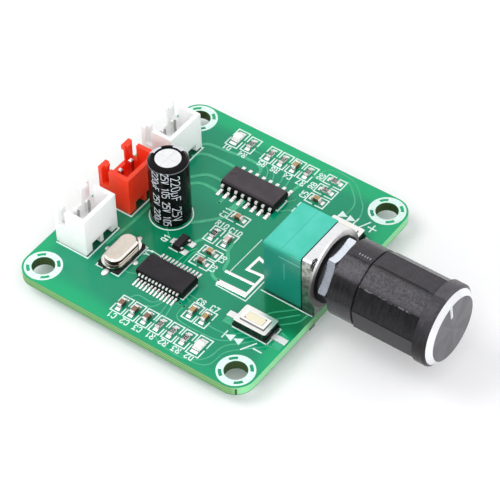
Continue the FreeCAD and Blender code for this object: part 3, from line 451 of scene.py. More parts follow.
NYLON_DEPTH = 1.5 * MM
COMPOUND_GRAIN = {"grain": 0.01, "scale": 14.0, "Specular_IOR_Level": 0.2}
white_nylon = moulded("white_nylon", paint(253, 253, 252), paint(248, 248, 248), 0.42, Subsurface_Weight=0.5,
                      Subsurface_Radius=(1.0, 1.0, 1.0), Subsurface_Scale=NYLON_DEPTH)
red_nylon = moulded("red_nylon", paint(250, 62, 28), paint(242, 54, 22), 0.38, Subsurface_Weight=0.4,
                    Subsurface_Radius=(1.0, 0.25, 0.12), Subsurface_Scale=NYLON_DEPTH)
black_plastic = moulded("black_plastic", paint(15, 17, 16), paint(21, 22, 21), 0.42, Specular_IOR_Level=0.25)
rubber = moulded("black_rubber", paint(28, 28, 28), paint(36, 35, 34), 0.7)
# the chips' bodies get a painted shade on their upright sides
amplifier_body = moulded("moulding_compound", paint(68, 63, 67), paint(78, 72, 76), 0.6,
                         shaded_sides=paint(20, 19, 20), **COMPOUND_GRAIN)
dark_compound = moulded("dark_compound", paint(40, 37, 40), paint(48, 45, 48), 0.6,
                        shaded_sides=paint(16, 15, 16), **COMPOUND_GRAIN)
print("plastics made")

# %% [markdown]
# ### Case, buttons and sleeve
# Three plastics have details that are too fine for the CAD model. The teal case has a parting line and two faint
# ribs, with painted shade on its sides and along its rounded upper edge and a painted shadow at its foot. The
# buttons have a pale foot, painted shade on their sides and two small pits painted as dark spots of shade, and the
# shrink sleeve has a painted highlight along its shoulder. Cutting all this into the mesh would cost faces, so
# masks paint it by its place.

# %% Case
teal = moulded("teal_plastic", paint(78, 202, 182), paint(64, 194, 170), 0.3, 0.006, shaded_sides=paint(12, 128, 107))
tx, ty, tz = teal.axes()
seam = ty.near(-15.35, 0.06) * (tz > 10.9)
ribs = tz.near(9.25, 0.08) * ty.near(-16.8, 1.9) * 0.65 + ty.near(-15.8, 0.07) * tz.near(6.5, 1.7) * 0.4
# painted shade along the rounded upper edge, and a painted shadow at the foot
painted_edge_shading = tx.fall(-4.72, -3.7, 0.7) * (tz > 10.6) + tz.fade(9.2, 10.8, 0.0, 0.45) * (tz < 10.9)
foot_shadow = tz.fall(0.45, 0.95, 0.85)
teal.paint_over((painted_edge_shading, paint(58, 182, 156)), (seam * 0.5, paint(30, 150, 130)), (ribs, paint(120, 208, 190)),
                (foot_shadow, paint(6, 34, 28)))
print("case finish made")

# %% Buttons and sleeve
SWITCH_X, SWITCH_Y = 11.05, -15.3
BUTTON_FOOT, BUTTON_TOP = paint(252, 251, 246), paint(242, 233, 206)
BUTTON_SIDE_SHADE, PIT_SHADE = paint(120, 118, 120), paint(70, 66, 60)

beige = moulded("beige_plastic", paint(240, 232, 206), paint(234, 226, 198), 0.45)
ex, ey, ez = beige.axes()
out_of_line, along_switch = abs(ex) - SWITCH_X, ey - SWITCH_Y
# two corner pits, painted as dark spots of shade
corner_pit_shade = distance(abs(out_of_line) - 0.6, abs(along_switch) - 1.44) < 0.11
corner_pit_shade = corner_pit_shade * (out_of_line * along_switch > 0.0)
beige.skin = beige.blend(ez.fade(1.87, 1.9), BUTTON_FOOT, BUTTON_TOP)
# painted shade on the buttons' upright sides
beige.paint_over((beige.facing()[2].fall(0.4, 0.8), BUTTON_SIDE_SHADE), (corner_pit_shade, PIT_SHADE))
sleeve = moulded("black_sleeve", paint(7, 7, 8), paint(11, 11, 12), 0.22, 0.003, 1.2,
                 Specular_IOR_Level=0.12, Coat_Weight=0.03, Coat_Roughness=0.06)
# a painted highlight along the sleeve's shoulder
painted_shoulder_highlight = abs(sleeve.axes()[2] - 11.5).fall(0.03, 0.09, 0.5)
sleeve.paint_over((painted_shoulder_highlight, paint(150, 152, 158)))
print("button and sleeve finishes made")

# %% [markdown]
# ## Metals
# Solder, tinned leads, the crystal's nickel cup, the aluminium can, the zinc plate and the steel nut are all bare
# metal. A metal has no colour of its own beyond the tint of its reflections, so roughness tells them apart: fresh
# solder is nearly a mirror, a stamped plate is dull. Fine lines in the rolling direction are a noise stretched
# along one axis.


# %% Metals
def bare_metal(name, colour, second, roughness, spread=0.12, scale=1.4, stretch=(1, 1, 1), depth=0.002,
               metallic=1.0, **constants):
    """A metal in two close tones; one noise makes its patches and its relief, a finer one its shine."""
    finish = Finish(name, colour, roughness, metallic, **constants)
    patches = finish.noise(scale, 4.0, stretch)
    finish.skin = finish.blend(patches.fade(0.3, 0.7), colour, second)
    finish.feed("Base Color", finish.skin)
    finish.feed("Roughness", roughness - spread / 2 + finish.noise(scale * 3, 3.0, stretch) * spread)
    finish.bump(patches, depth)
    return finish


aerial_tin = bare_metal("aerial_tin", paint(253, 253, 252), paint(248, 248, 248), 0.16, 0.06, 1.0, depth=0.0005)
bright_steel = bare_metal("bright_steel", paint(238, 244, 252), paint(224, 231, 242), 0.2, 0.1, 1.2)
dark_steel = bare_metal("dark_steel", paint(12, 12, 13), paint(7, 7, 8), 0.5, metallic=0.1, Specular_IOR_Level=0.1)
print("plain metals made")

# %% [markdown]
# ### Solder, leads and pins
# Solder and tinned leads are bright on top, but their steep sides mirror the dark gaps between the parts and lie
# in their shade. A mask of the surface's slope, between two heights, paints this reflection and shade on as a dark
# tone, a little higher up on the radio chip. The pins get a painted shade where they stand in their sockets.

# %% Solder and leads
SOFTNESS = 0.03
RADIO_CHIP_LIFT = 0.14
SHADED_PIN = paint(104, 102, 104)


def paint_dark_reflection(metal, tone, low, high):
    """Lays a painted reflection and shade, a dark tone, on the steep faces of solder or leads between two heights.
    """
    east, _, height = metal.axes()
    steep = metal.facing()[2].fall(0.45, 0.8)
    above = height.fade(low - SOFTNESS, low + SOFTNESS)
    below = (height - (east < 0.0) * RADIO_CHIP_LIFT).fall(high - SOFTNESS, high + SOFTNESS)
    metal.paint_over((steep * above * below, tone))


solder = bare_metal("solder", paint(254, 254, 253), paint(244, 245, 246), 0.24, 0.14, 2.2, depth=0.003,
                    metallic=0.3)
lead_tin = bare_metal("lead_tin", paint(254, 254, 252), paint(246, 246, 244), 0.26, 0.1, 1.5, metallic=0.3)
# painted reflection and shade on the steep sides of solder and leads
paint_dark_reflection(solder, paint(130, 132, 128), -0.1, 0.9)
paint_dark_reflection(lead_tin, paint(20, 22, 20), 0.28, 0.56)
tin = bare_metal("tinned_metal", paint(250, 250, 248), paint(236, 236, 234), 0.22)
_, depth, height = tin.axes()
in_socket = (depth > 15.0) * (height > 2.0) * (tin.facing()[1] < -0.5)
tin.paint_over((in_socket * 0.65, SHADED_PIN))
print("solder and lead finishes made")

# %% [markdown]
# ### Can, crystal and control
# The capacitor's can has a scored cross on its end and a dark ring where the sleeve's lip begins. The crystal's
# drawn cup gets a painted reflection of the dark board in its walls and painted highlights on its lip and flange.
# The control's zinc plate is clean and lit above and stained with painted shade at its sides, with a painted
# reflection of the green board low down and a painted shadow in the crevice by the washer. The washer gets a
# painted shade below, and the switches' frames a painted reflection at their sides.

# %% Can and crystal
CAN_X, CAN_Y = 0.1, 8.6

aluminium = bare_metal("aluminium", paint(250, 250, 251), paint(242, 243, 245), 0.3, 0.1, 1.0)
ax, ay, az = aluminium.axes()
ax, ay = ax - CAN_X, ay - CAN_Y
score = ax.near(0.0, 0.05).peak(ay.near(0.0, 0.05)) * 0.2
by_lip = (distance(ax, ay) > 2.0) * (az > 11.0)
aluminium.paint_over((score, paint(150, 152, 158)), (by_lip, paint(30, 30, 32)))
nickel = bare_metal("nickel", paint(232, 222, 210), paint(222, 212, 200), 0.2, 0.08, 0.5, depth=0.0006)
cup_z = nickel.axes()[2]
cup_east, _, cup_up = nickel.facing()
# painted reflection of the dark board on the cup's walls, and painted highlights on its lip and flange
wall_of_cup = abs(cup_up).fall(0.35, 0.6) * (cup_z > 0.97)
painted_dark_reflection_bands = (abs(cup_z - 1.58).fall(0.2, 0.26) + cup_z.fall(1.02, 1.1)).peak(abs(cup_east).fade(0.3, 0.6))
painted_lip_highlight = cup_z.fade(1.8, 1.84) * cup_z.fall(2.06, 2.1)
lit_flange = (cup_z < 1.0) * (cup_up > 0.5)
nickel.paint_over((painted_lip_highlight, paint(254, 250, 244)), (lit_flange, paint(254, 251, 245)),
                  (wall_of_cup * painted_dark_reflection_bands, paint(18, 22, 14)))
print("can and crystal finishes made")

# %% Control metals
zinc = bare_metal("zinc", paint(246, 247, 249), paint(232, 233, 235), 0.3, 0.12, 1.5, (6, 0.7, 0.7))
zx, zy, zz = zinc.axes()
# a painted shadow in the crevice between the plate's top corner and the washer
corner = distance(zx + 4.35, zz - 10.75) + zinc.noise(2.2, 3.0) * 0.9
crevice_shadow = (zy + zinc.noise(3.0) * 0.5 < -20.15) * corner.fall(1.35, 1.7) * zinc.noise(6.0).fade(0.36, 0.44)
clean_lit_top, zinc.skin = zinc.skin, zinc.clouds(paint(200, 200, 197), paint(150, 150, 148), 1.3, 4.0, 0.42, 0.6)
# stains with painted shade on the sides under a clean lit top, a painted reflection of the green board low down,
# and a dark rear
zinc.paint_over((zz.fall(1.2, 3.6, 0.6), paint(60, 80, 73)), (zinc.facing()[2].fade(0.4, 0.8), clean_lit_top),
                ((zy > -18.98).peak(crevice_shadow), paint(26, 25, 24)))
washer = bare_metal("plated_washer", paint(240, 238, 236), paint(226, 224, 224), 0.4, 0.12, 1.5, metallic=0.35)
# painted shade: the washer is darker below
washer.feed("Base Color", washer.blend(washer.axes()[2].fade(8.2, 11.6), paint(92, 90, 88), washer.skin))
switch_frame = bare_metal("polished_frame", paint(252, 251, 248), paint(246, 245, 242), 0.24, 0.1, 1.2)
# a painted reflection of the dark board on the frames' sides
switch_frame.feed("Base Color", switch_frame.blend(switch_frame.facing()[2].fade(0.3, 0.7), paint(66, 70, 68),
                                                   switch_frame.skin))
print("control metals made")

# %% [markdown]
# ## The knob
# The knob is turned from aluminium and dyed black in an anodising bath. Afterwards the maker cuts a bright bevel
# round its end and a pointer slot, both through the black skin to bare metal, and its end face shows fine rings
# from the lathe tool. All of that is one solid, so the finish reads where a point is: how far along the knob and
# how far from its axis. The rings of the face are a sine of the radius.

# %% Knob zones
KNOB_AXIS_Z, KNOB_END = 6.6, -41.68
COLLAR_END, GRIP_START, BAND_START = -28.2, -28.62, -38.9
FACE_RADIUS, BEVEL_RADIUS, CREASE_RADIUS = 5.17, 6.02, 6.19
POINTER_TILT = math.radians(8.6)
BLACK_DYE = paint(10, 10, 11)

knob = Finish("black_anodised", BLACK_DYE, 0.3, Specular_IOR_Level=0.22)
kx, ky, kz = knob.axes()
rise = kz - KNOB_AXIS_Z
radius = distance(kx, rise)
across = kx * math.cos(POINTER_TILT) + rise * math.sin(POINTER_TILT)
along = rise * math.cos(POINTER_TILT) - kx * math.sin(POINTER_TILT)
bearing = across.math("ARCTAN2", across, along)
in_slot = across.near(0.0, 0.27) * (along > 2.6) * (ky < KNOB_END + 0.34)
bright = (radius.between(FACE_RADIUS, BEVEL_RADIUS) * (ky < KNOB_END + 0.72)).peak(in_slot)
on_face = (radius < FACE_RADIUS) * (ky < KNOB_END + 0.05)
rings = (radius * 46.0).sine() * 0.5 + 0.5
print("pointer tilted by", round(math.degrees(POINTER_TILT), 1), "degrees")

# %% [markdown]
# ### Painted sheen and wear on the knob
# Dyed aluminium goes grey where fingers turn it, and the knob's flats mirror light and dark parts of the room. Both
# are painted as grey over the black dye and follow the bearing round the knob's axis: a sine of five waves paints a
# sheen on every second of the ten flats, the lower flats, the far side, the collar and the end band get painted
# light by their bearing, and two noises break it up into patchy wear. A painted shadow line at a flat's step, nicks
# that also paint a highlight on a flat's edge, painted glints on the collar's ridges and the fine lines of the
# lathe tool come last.

# %% Knob wear
WAVES = 5.0
GREY_WEAR_AND_SHEEN = paint(86, 83, 88)
FACE_TONES = paint(112, 111, 114), paint(104, 103, 107)

# painted sheen on alternate flats and painted light by bearing stand for the flats' reflections; the noises add
# patchy wear
flat_sheen = (bearing * -WAVES).sine().fade(-0.2, 0.7)
tone = knob.noise(0.5, 3.0, (1, 4, 1)).fade(0.3, 0.7)
mottle = knob.noise(2.4, 6.0, (1, 0.3, 1), 0.75).fade(0.3, 0.7)
speckle = knob.noise(3.4, 3.0).fade(0.36, 0.64)
band_sheen = (ky < BAND_START) * (0.04 + bearing.fade(-1.3, -0.4, 0.0, 0.62) * (0.5 + mottle * 0.5))
collar_sheen = (ky > COLLAR_END) * flat_sheen * (0.15 + mottle * 0.2)
upper = bearing > -0.64
lower_flat_light = bearing.fade(-1.9, -0.7, 0.4, 0.04) * (0.7 + speckle * 0.3)
sheen_and_wear = (flat_sheen * upper * (0.14 + mottle * 0.38 + speckle * 0.5) + (1 - upper) * lower_flat_light) * (ky > BAND_START)
far_side_light = (bearing > 0.0) * (0.36 + mottle * 0.2)
knob.skin = knob.blend(band_sheen + collar_sheen + sheen_and_wear + tone * 0.06 + far_side_light, BLACK_DYE, GREY_WEAR_AND_SHEEN)
turned_face = knob.blend(rings * 0.35 + knob.noise(1.2) * 0.3, *FACE_TONES)
print("sheen and wear mapped")

# %% Knob finish
# a painted shadow line at a flat's step, nicks that also paint a highlight on a flat's edge, painted glints on the
# collar's ridges
nicks_and_edge_highlight = bearing.near(-0.628, 0.02) * (knob.noise(2.6, 3.0, (1, 0.6, 1)) > 0.56) * ky.between(-37.5, -28.6)
painted_ridge_glints = bearing.near(0.115, 0.03) * ((ky * 14.0).sine() > 0.4) * ky.between(-27.9, -25.7)
step_shadow_line = bearing.near(0.01, 0.04) * ky.between(-38.0, -29.4)
crease = ky.between(BAND_START, GRIP_START) * (radius > CREASE_RADIUS)
knob.paint_over((step_shadow_line * 0.85, BLACK_DYE), (nicks_and_edge_highlight * 0.7 + painted_ridge_glints * 0.55, paint(200, 198, 202)),
                (crease * 0.7, paint(8, 8, 9)), (on_face, turned_face), (bright, paint(244, 245, 248)))
bare_face = on_face * (1 - bright)
knob.feed("Metallic", bright - in_slot * 0.7 + bare_face * 0.65)
knob.feed("Roughness", 0.22 + tone * 0.08 + flat_sheen * 0.1 - bright * 0.1 + bare_face * 0.12)
tool_lines = (ky * 34.0).sine() * ((ky > COLLAR_END) + (ky < -39.2) * 0.6)
knob.bump(tool_lines * 0.5 * (1 - on_face) + rings * on_face + knob.noise(5.0) * 0.6, 0.006)
print("knob finish made")

# %% [markdown]
# ## Dressing the CAD nodes
# Each CAD node names a material slot in its record. A table from slot to finish dresses them all, which is safer
# than sixty single lines: a new node with a known slot is dressed at once. The chip parts and lamps get pieces of
# their own further on.

# %% Dress the nodes
by_slot = {finish.name: finish for finish in (
    lacquer, white_nylon, red_nylon, black_plastic, rubber, amplifier_body, teal, beige, sleeve, aluminium, nickel,
    zinc, bright_steel, dark_steel, tin, knob)}
by_node = {
    "control_washer": washer, "left_switch_frame": switch_frame, "right_switch_frame": switch_frame,
    "transistor": dark_compound, "radio_chip": dark_compound, "amplifier_chip_leads": lead_tin,
    "radio_chip_leads": lead_tin, "transistor_leads": lead_tin, "left_switch_terminals": solder,
    "right_switch_terminals": solder,
}
slot_of = {part["node"]: part["material_slot"] for part in frame["record"]["subparts"]}
for node, thing in frame["nodes"].items():
    finish = by_node.get(node) or by_slot.get(slot_of[node], white_nylon)
    thing.data.materials.clear()
    thing.data.materials.append(finish.material)
print("dressed", len(slot_of), "nodes")

# %% [markdown]
# ## Shapes in mesh code
# The added pieces are of a few kinds: flat prisms for pads and triangles, ribbons for printed lines and tracks,
# and little blocks for chips. A `Shape` gathers points and faces in millimetres and turns them into one piece. A
# ribbon follows a path of points: at each point both edges move out along the corner's bisector, so the corner
# stays sharp and the width stays even.

# %% Ribbon edges
OVERRUN = 0.35
SHARPEST_TURN = 0.5


def ribbon_edges(path, width, closed):
    """A point on the left and one on the right edge of a ribbon, for each point of its path."""
    count = len(path)
    pairs = []
    for i, (x, y) in enumerate(path):
        before = path[i - 1] if i or closed else None
        after = path[(i + 1) % count] if i < count - 1 or closed else None
        ways = []
        if before:
            ways.append((x - before[0], y - before[1]))
        if after:
            ways.append((after[0] - x, after[1] - y))
        ways = [(dx / math.hypot(dx, dy), dy / math.hypot(dx, dy)) for dx, dy in ways]
        across_x = -sum(dy for dx, dy in ways)
        across_y = sum(dx for dx, dy in ways)
        size = max(math.hypot(across_x, across_y), 1e-6)
        across_x, across_y = across_x / size, across_y / size
        turn = -across_x * ways[0][1] + across_y * ways[0][0]
        reach = width / 2 / max(turn, SHARPEST_TURN)
        end_x = end_y = 0.0
        if len(ways) == 1:
            sign = -1 if after else 1
            end_x, end_y = [sign * step * width * OVERRUN for step in ways[0]]
        pairs.append(((x + across_x * reach + end_x, y + across_y * reach + end_y),
                      (x - across_x * reach + end_x, y - across_y * reach + end_y)))
    return pairs


print("edges of a straight ribbon:", ribbon_edges([(0, 0), (1, 0)], 1, False))

# %% [markdown]
# ### Gathering points and faces
# Prisms, blocks, lofts and ribbons are all rows of rings: `walls` are the faces from ring to ring, `caps` the two
# at the ends. A piece on a curved face is drawn flat and then wrapped: `wrap` takes each point of a ribbon to its
# place. Each ribbon lies a hair higher than the last, so that two that cross don't share a face.

# %% Shape
HAIR, HAIRS = 0.0004, 40


def walls(rings, closed=False):
    """The faces from each ring to the next, and from the last to the first where they close."""
    count, faces = len(rings[0]), []
    for step in range(len(rings) if closed else len(rings) - 1):
        here, there = step * count, (step + 1) % len(rings) * count
        for edge in range(count):
            turned = (edge + 1) % count
            faces.append((here + edge, here + turned, there + turned, there + edge))
    return faces


def caps(rings):
    """The faces that close the first and the last ring."""
    count = len(rings[0])
    return [tuple(reversed(range(count))), tuple(range(count * (len(rings) - 1), count * len(rings)))]


class Shape:
    """Points and faces in millimetres, gathered until they become one piece."""

    def __init__(self):
        self.points = []
        self.faces = []
        self.kinds = []
        self.strands = 0

    def add(self, rings, faces, kind):
        """Adds rings of points and faces that name these points by number."""
        first = len(self.points)
        self.points += [point for ring in rings for point in ring]
        self.faces += [tuple(first + corner for corner in face) for face in faces]
        self.kinds += [kind] * len(faces)

    def loft(self, rings, kind=0):
        """Joins rings of equally many points into one closed solid."""
        start, end = caps(rings)
        self.add(rings, [start] + walls(rings) + [end], kind)

    def prism(self, outline, low, high, kind=0):
        self.loft([[(x, y, z) for x, y in outline] for z in (low, high)], kind)

    def block(self, corner, opposite, kind=0):
        (x0, y0, z0), (x1, y1, z1) = corner, opposite
        self.prism([(x0, y0), (x1, y0), (x1, y1), (x0, y1)], z0, z1, kind)

    def ribbon(self, path, width, low, high, closed=False, kind=0, wrap=None):
        self.strands += 1
        high = high + (self.strands % HAIRS) * HAIR
        place = wrap or (lambda x, y, z: (x, y, z))
        rings = [[place(lx, ly, low), place(lx, ly, high), place(rx, ry, high), place(rx, ry, low)]
                 for (lx, ly), (rx, ry) in ribbon_edges(path, width, closed)]
        self.add(rings, walls(rings, closed) + ([] if closed else caps(rings)), kind)

    def piece(self, name, finishes, slot, body="board", bevel=0.0, smooth=False):
        mesh = bpy.data.meshes.new(name)
        mesh.from_pydata([(x * MM, y * MM, z * MM) for x, y, z in self.points], [], self.faces)
        for finish in finishes:
            mesh.materials.append(finish.material)
        mesh.polygons.foreach_set("material_index", self.kinds)
        if smooth:
            mesh.polygons.foreach_set("use_smooth", [True] * len(self.faces))
        mesh.update()
        thing = bpy.data.objects.new(name, mesh)
        scene.collection.objects.link(thing)
        if bevel:
            rounded = thing.modifiers.new("rounded", "BEVEL")
            rounded.width = bevel * MM
            rounded.segments = 2
            rounded.limit_method = "ANGLE"
            rounded.angle_limit = math.radians(30)
        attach(thing, body)
        print(name, len(self.faces), "faces")
        return thing


print("shapes can be made")


# %% Arcs
def arc(centre, reach, start, end, steps):
    """Points on a circle from one angle to another, in degrees."""
    angles = [math.radians(start + (end - start) * i / steps) for i in range(steps + 1)]
    return [(centre[0] + reach * math.cos(angle), centre[1] + reach * math.sin(angle)) for angle in angles]


print("a quarter turn:", arc((0, 0), 1, 0, 90, 2))

# %% [markdown]
# ## Tracks under the lacquer
# Copper tracks show through the lacquer as paler, slightly raised lines. Each is a ribbon that stands 0.02 mm
# proud, in a lighter green with the lacquer's shine. The points of a route are rounded by a short smoothing pass,
# because this layout was drawn with curved tracks. A bump map could fake them, but a real ribbon also catches the
# light at its edges from every side.

# %% Track routes
THIN, BROAD = 0.22, 0.55
TRACKS = [
    (THIN, [(-16.76, 3.19), (-16.1, 2.93), (-15.76, 2.29), (-15.86, 1.29), (-15.91, 0.33), (-15.57, -0.33),
            (-14.88, -0.73), (-14.3, -0.84)]),
    (THIN, [(-16.82, 0.36), (-16.67, -0.26), (-16.14, -0.78), (-15.38, -1.11), (-14.36, -1.26)]),
    (THIN, [(-19.71, -3.0), (-18.38, -2.6), (-16.97, -2.33), (-15.22, -2.05), (-14.34, -1.98)]),
    (THIN, [(-17.25, -3.28), (-15.99, -3.05), (-14.87, -2.8), (-14.07, -2.6)]),
    (THIN, [(-13.79, -4.31), (-14.91, -4.25), (-15.74, -4.42), (-16.36, -5.07), (-16.51, -6.37),
            (-16.55, -7.73), (-16.45, -10.08), (-16.33, -11.66), (-15.94, -12.81), (-15.23, -13.72),
            (-14.34, -14.5), (-13.04, -15.69)]),
    (THIN, [(-14.66, -9.34), (-14.77, -10.87), (-14.6, -12.3)]),
    (THIN, [(-14.3, -13.1), (-13.9, -13.46), (-12.67, -14.71)]),
    (THIN, [(-11.47, -3.66), (-11.52, -5.0)]),
    (THIN, [(-12.16, -3.54), (-12.5, -4.5)]),
    (THIN, [(-20.31, -3.99), (-21.06, -4.75), (-21.6, -5.81), (-21.8, -7.45), (-21.9, -9.02), (-21.85, -10.24),
            (-21.34, -11.47), (-20.65, -12.38), (-19.64, -13.1), (-18.46, -13.35), (-17.21, -13.4),
            (-16.17, -13.88), (-15.28, -14.83), (-14.14, -15.96), (-13.08, -16.79)]),
    (THIN, [(-20.87, -7.51), (-21.22, -8.5), (-21.5, -10.25), (-21.6, -11.6), (-21.5, -12.65), (-21.05, -13.58),
            (-20.22, -14.15), (-19.06, -14.23), (-17.73, -14.31), (-16.84, -14.91), (-15.79, -15.92),
            (-14.62, -17.2), (-13.51, -18.34), (-12.75, -19.0), (-12.8, -20.58)]),
    (THIN, [(-8.02, -15.1), (-7.37, -15.52), (-6.04, -16.9), (-4.8, -18.2)]),
    (THIN, [(-7.98, -16.85), (-6.5, -18.12), (-5.43, -19.14)]),
    (THIN, [(-8.67, -17.89), (-7.65, -18.94), (-6.54, -19.92), (-5.0, -20.08)]),
    (THIN, [(20.46, -4.97), (21.43, -5.3), (21.85, -6.17), (21.98, -7.61), (21.84, -9.23), (21.65, -10.03),
            (21.12, -11.02), (20.23, -12.0), (19.17, -13.09), (18.12, -14.17), (16.98, -14.76),
            (15.94, -15.11), (14.82, -15.33)]),
    (THIN, [(21.13, -9.34), (20.6, -10.27), (19.53, -11.37), (18.65, -12.34), (17.55, -13.0), (16.38, -13.16),
            (15.4, -13.05)]),
    (THIN, [(18.3, -4.2), (19.3, -4.77)]),
    (BROAD, [(14.67, 14.13), (15.51, 13.2), (15.74, 12.01), (15.84, 10.2), (16.26, 7.58), (16.4, 5.4),
             (16.25, 3.94), (15.6, 3.04), (14.6, 2.8)]),
    (BROAD, [(12.01, 13.49), (13.07, 12.93), (13.6, 11.78), (13.69, 10.3), (13.78, 8.63), (13.74, 6.2)]),
    (BROAD, [(8.16, 10.97), (9.29, 10.09), (10.09, 9.15), (10.26, 8.13), (10.18, 6.3)]),
    (BROAD, [(6.0, 10.9), (7.03, 10.12), (7.82, 9.37), (8.09, 8.23), (8.09, 6.9), (7.93, 5.63)]),
    (BROAD, [(-0.8, 6.3), (0.32, 5.24), (1.87, 3.57), (3.67, 2.09), (4.36, 1.47)]),
    (THIN, [(17.4, 3.6), (16.69, 2.92), (16.16, 2.16), (15.2, 1.6), (14.4, 1.55)]),
    (THIN, [(17.4, 2.3), (16.51, 1.4), (15.62, 0.64), (14.6, 0.3)]),
    (THIN, [(17.2, -0.3), (16.24, -0.62), (15.18, -0.95), (14.4, -0.95)]),
    (THIN, [(17.6, -1.3), (16.4, -1.85), (14.65, -2.13)]),
    (BROAD, [(17.6, -3.5), (16.6, -3.85), (14.92, -3.6), (14.2, -3.48)]),
    (THIN, [(18.39, 6.9), (18.39, 4.6)]),
    (BROAD, [(8.2, 4.12), (6.13, 4.11)]),
    (1.1, [(8.4, 1.45), (5.98, 1.73)]),
    (THIN, [(12.22, -4.24), (13.35, -5.11)]),
    (BROAD, [(-3.0, 2.35), (-1.73, 1.82), (-0.5, 1.1)]),
    (THIN, [(-7.5, 1.93), (-6.93, 1.95), (-4.31, 1.77), (-3.4, 1.11)]),
    (THIN, [(-7.5, 0.98), (-7.12, 0.99), (-4.66, 1.17), (-3.68, 0.73)]),
    (THIN, [(-2.6, 7.4), (-3.0, 6.89), (-3.78, 6.19), (-4.3, 5.2)]),
    (BROAD, [(-10.2, 12.9), (-8.56, 12.75), (-7.3, 12.6), (-5.88, 12.46), (-4.03, 12.38), (0.4, 12.46)]),
    (BROAD, [(0.3, -2.7), (-1.15, -2.9), (-1.97, -3.57), (-2.87, -4.30), (-3.77, -4.45), (-4.5, -4.6),
             (-4.62, -5.3)]),
    (BROAD, [(-5.6, -3.2), (-6.26, -3.8), (-6.75, -4.5), (-6.8, -5.5)]),
    (THIN, [(-13.3, 7.6), (-13.17, 7.13), (-13.06, 6.27), (-12.6, 5.4)]),
    (THIN, [(9.8, -4.2), (10.68, -5.17), (11.5, -6.05)]),
]
print(len(TRACKS), "routes on the upper face")

# %% [markdown]
# ### Tracks as ribbons
# Copper under lacquer looks paler and a little softer than the green beside it. The broad tracks are a shade
# deeper than the thin ones. The underside, which the photograph doesn't show, gets routes of its own from the pins
# to the chips and the vias.


# %% Tracks
def eased(path, rounds=2):
    """Cuts each corner of an open path a few times, so a route of few points bends smoothly."""
    for _ in range(rounds):
        cut = [path[0]]
        for (x0, y0), (x1, y1) in zip(path, path[1:]):
            cut += [(x0 * 0.75 + x1 * 0.25, y0 * 0.75 + y1 * 0.25), (x0 * 0.25 + x1 * 0.75, y0 * 0.25 + y1 * 0.75)]
        path = cut + [path[-1]]
    return path


def covered_copper(name, colour, first, second):
    finish = Finish(name, colour, 0.3, Coat_Weight=0.5, Coat_Roughness=0.14)
    finish.feed("Base Color", finish.clouds(first, second, 0.8))
    finish.feed("Roughness", 0.22 + finish.noise(2.0) * 0.14)
    return finish


TRACK_HALF, PATCH_TOP = 0.02, 0.018
UNDERSIDE = -1.6
UNDER_TRACKS = [
    (1.1, [(1.25, 16.9), (1.35, 8.6)]),
    (1.1, [(-1.25, 16.9), (-1.15, 8.6), (-1.15, 5.2), (4.0, 1.6)]),
    (0.8, [(9.3, 16.9), (9.3, 12.6), (7.2, 10.4), (7.2, 6.0)]),
    (0.8, [(11.8, 16.9), (11.8, 10.8), (13.4, 9.2), (13.4, 6.0)]),
    (0.8, [(-9.3, 16.9), (-9.3, 12.4), (-5.6, 8.6), (-5.6, 2.2), (1.8, -1.9), (7.2, -1.9)]),
    (0.8, [(-11.8, 16.9), (-11.8, 11.6), (-7.4, 7.2), (-7.4, 1.2), (1.2, -3.5), (10.6, -3.5), (13.4, -1.6)]),
    (THIN, [(-2.5, -13.4), (-2.5, -9.2), (-6.72, -5.35)]),
    (THIN, [(0.0, -13.4), (0.0, -8.2), (-4.2, -4.6), (-9.6, -3.47), (-13.65, -3.47)]),
    (THIN, [(2.5, -13.4), (2.5, -8.8), (5.0, -5.6), (14.6, -5.6), (16.4, -3.2), (16.4, 1.4), (12.4, 4.11),
            (6.13, 4.11)]),
    (THIN, [(-2.5, -16.6), (-7.4, -16.6), (-13.79, -9.8), (-13.79, -4.31)]),
    (THIN, [(2.5, -16.6), (7.6, -16.6), (11.05, -13.0), (11.05, -9.0)]),
]
PATCHES = [
    [(-11.12, -10.51), (-12.88, -10.54), (-12.81, -12.66), (-11.48, -11.86)],
    [(-9.5, -18.9), (-12.5, -19.1), (-12.6, -20.6), (-10.2, -20.8)],
]
track_green = covered_copper("covered_copper", paint(70, 190, 138), paint(44, 166, 118), paint(62, 178, 132))
band_green = covered_copper("covered_broad_copper", paint(36, 172, 112), paint(40, 172, 124), paint(56, 182, 134))
tracks = Shape()


def lay_tracks(routes, level):
    for width, route in routes:
        tracks.ribbon(eased(route), width, level - TRACK_HALF, level + TRACK_HALF, kind=0 if width == THIN else 1)


lay_tracks(TRACKS, 0.0)
for patch in PATCHES:
    tracks.prism(patch, -TRACK_HALF, PATCH_TOP, 1)
lay_tracks(UNDER_TRACKS, UNDERSIDE)
tracks.piece("covered_tracks", [track_green, band_green], "solder_mask")

# %% [markdown]
# ## Printed marks
# White ink marks each part's place and its number. Printers of boards draw letters with a round pen of one width,
# so a stroke font fits better than Blender's text: each letter is a few points on a grid of four by six, and the
# strokes become ribbons. The numbers here simply count the parts. The ink stands a little proud of the tracks that
# it crosses.

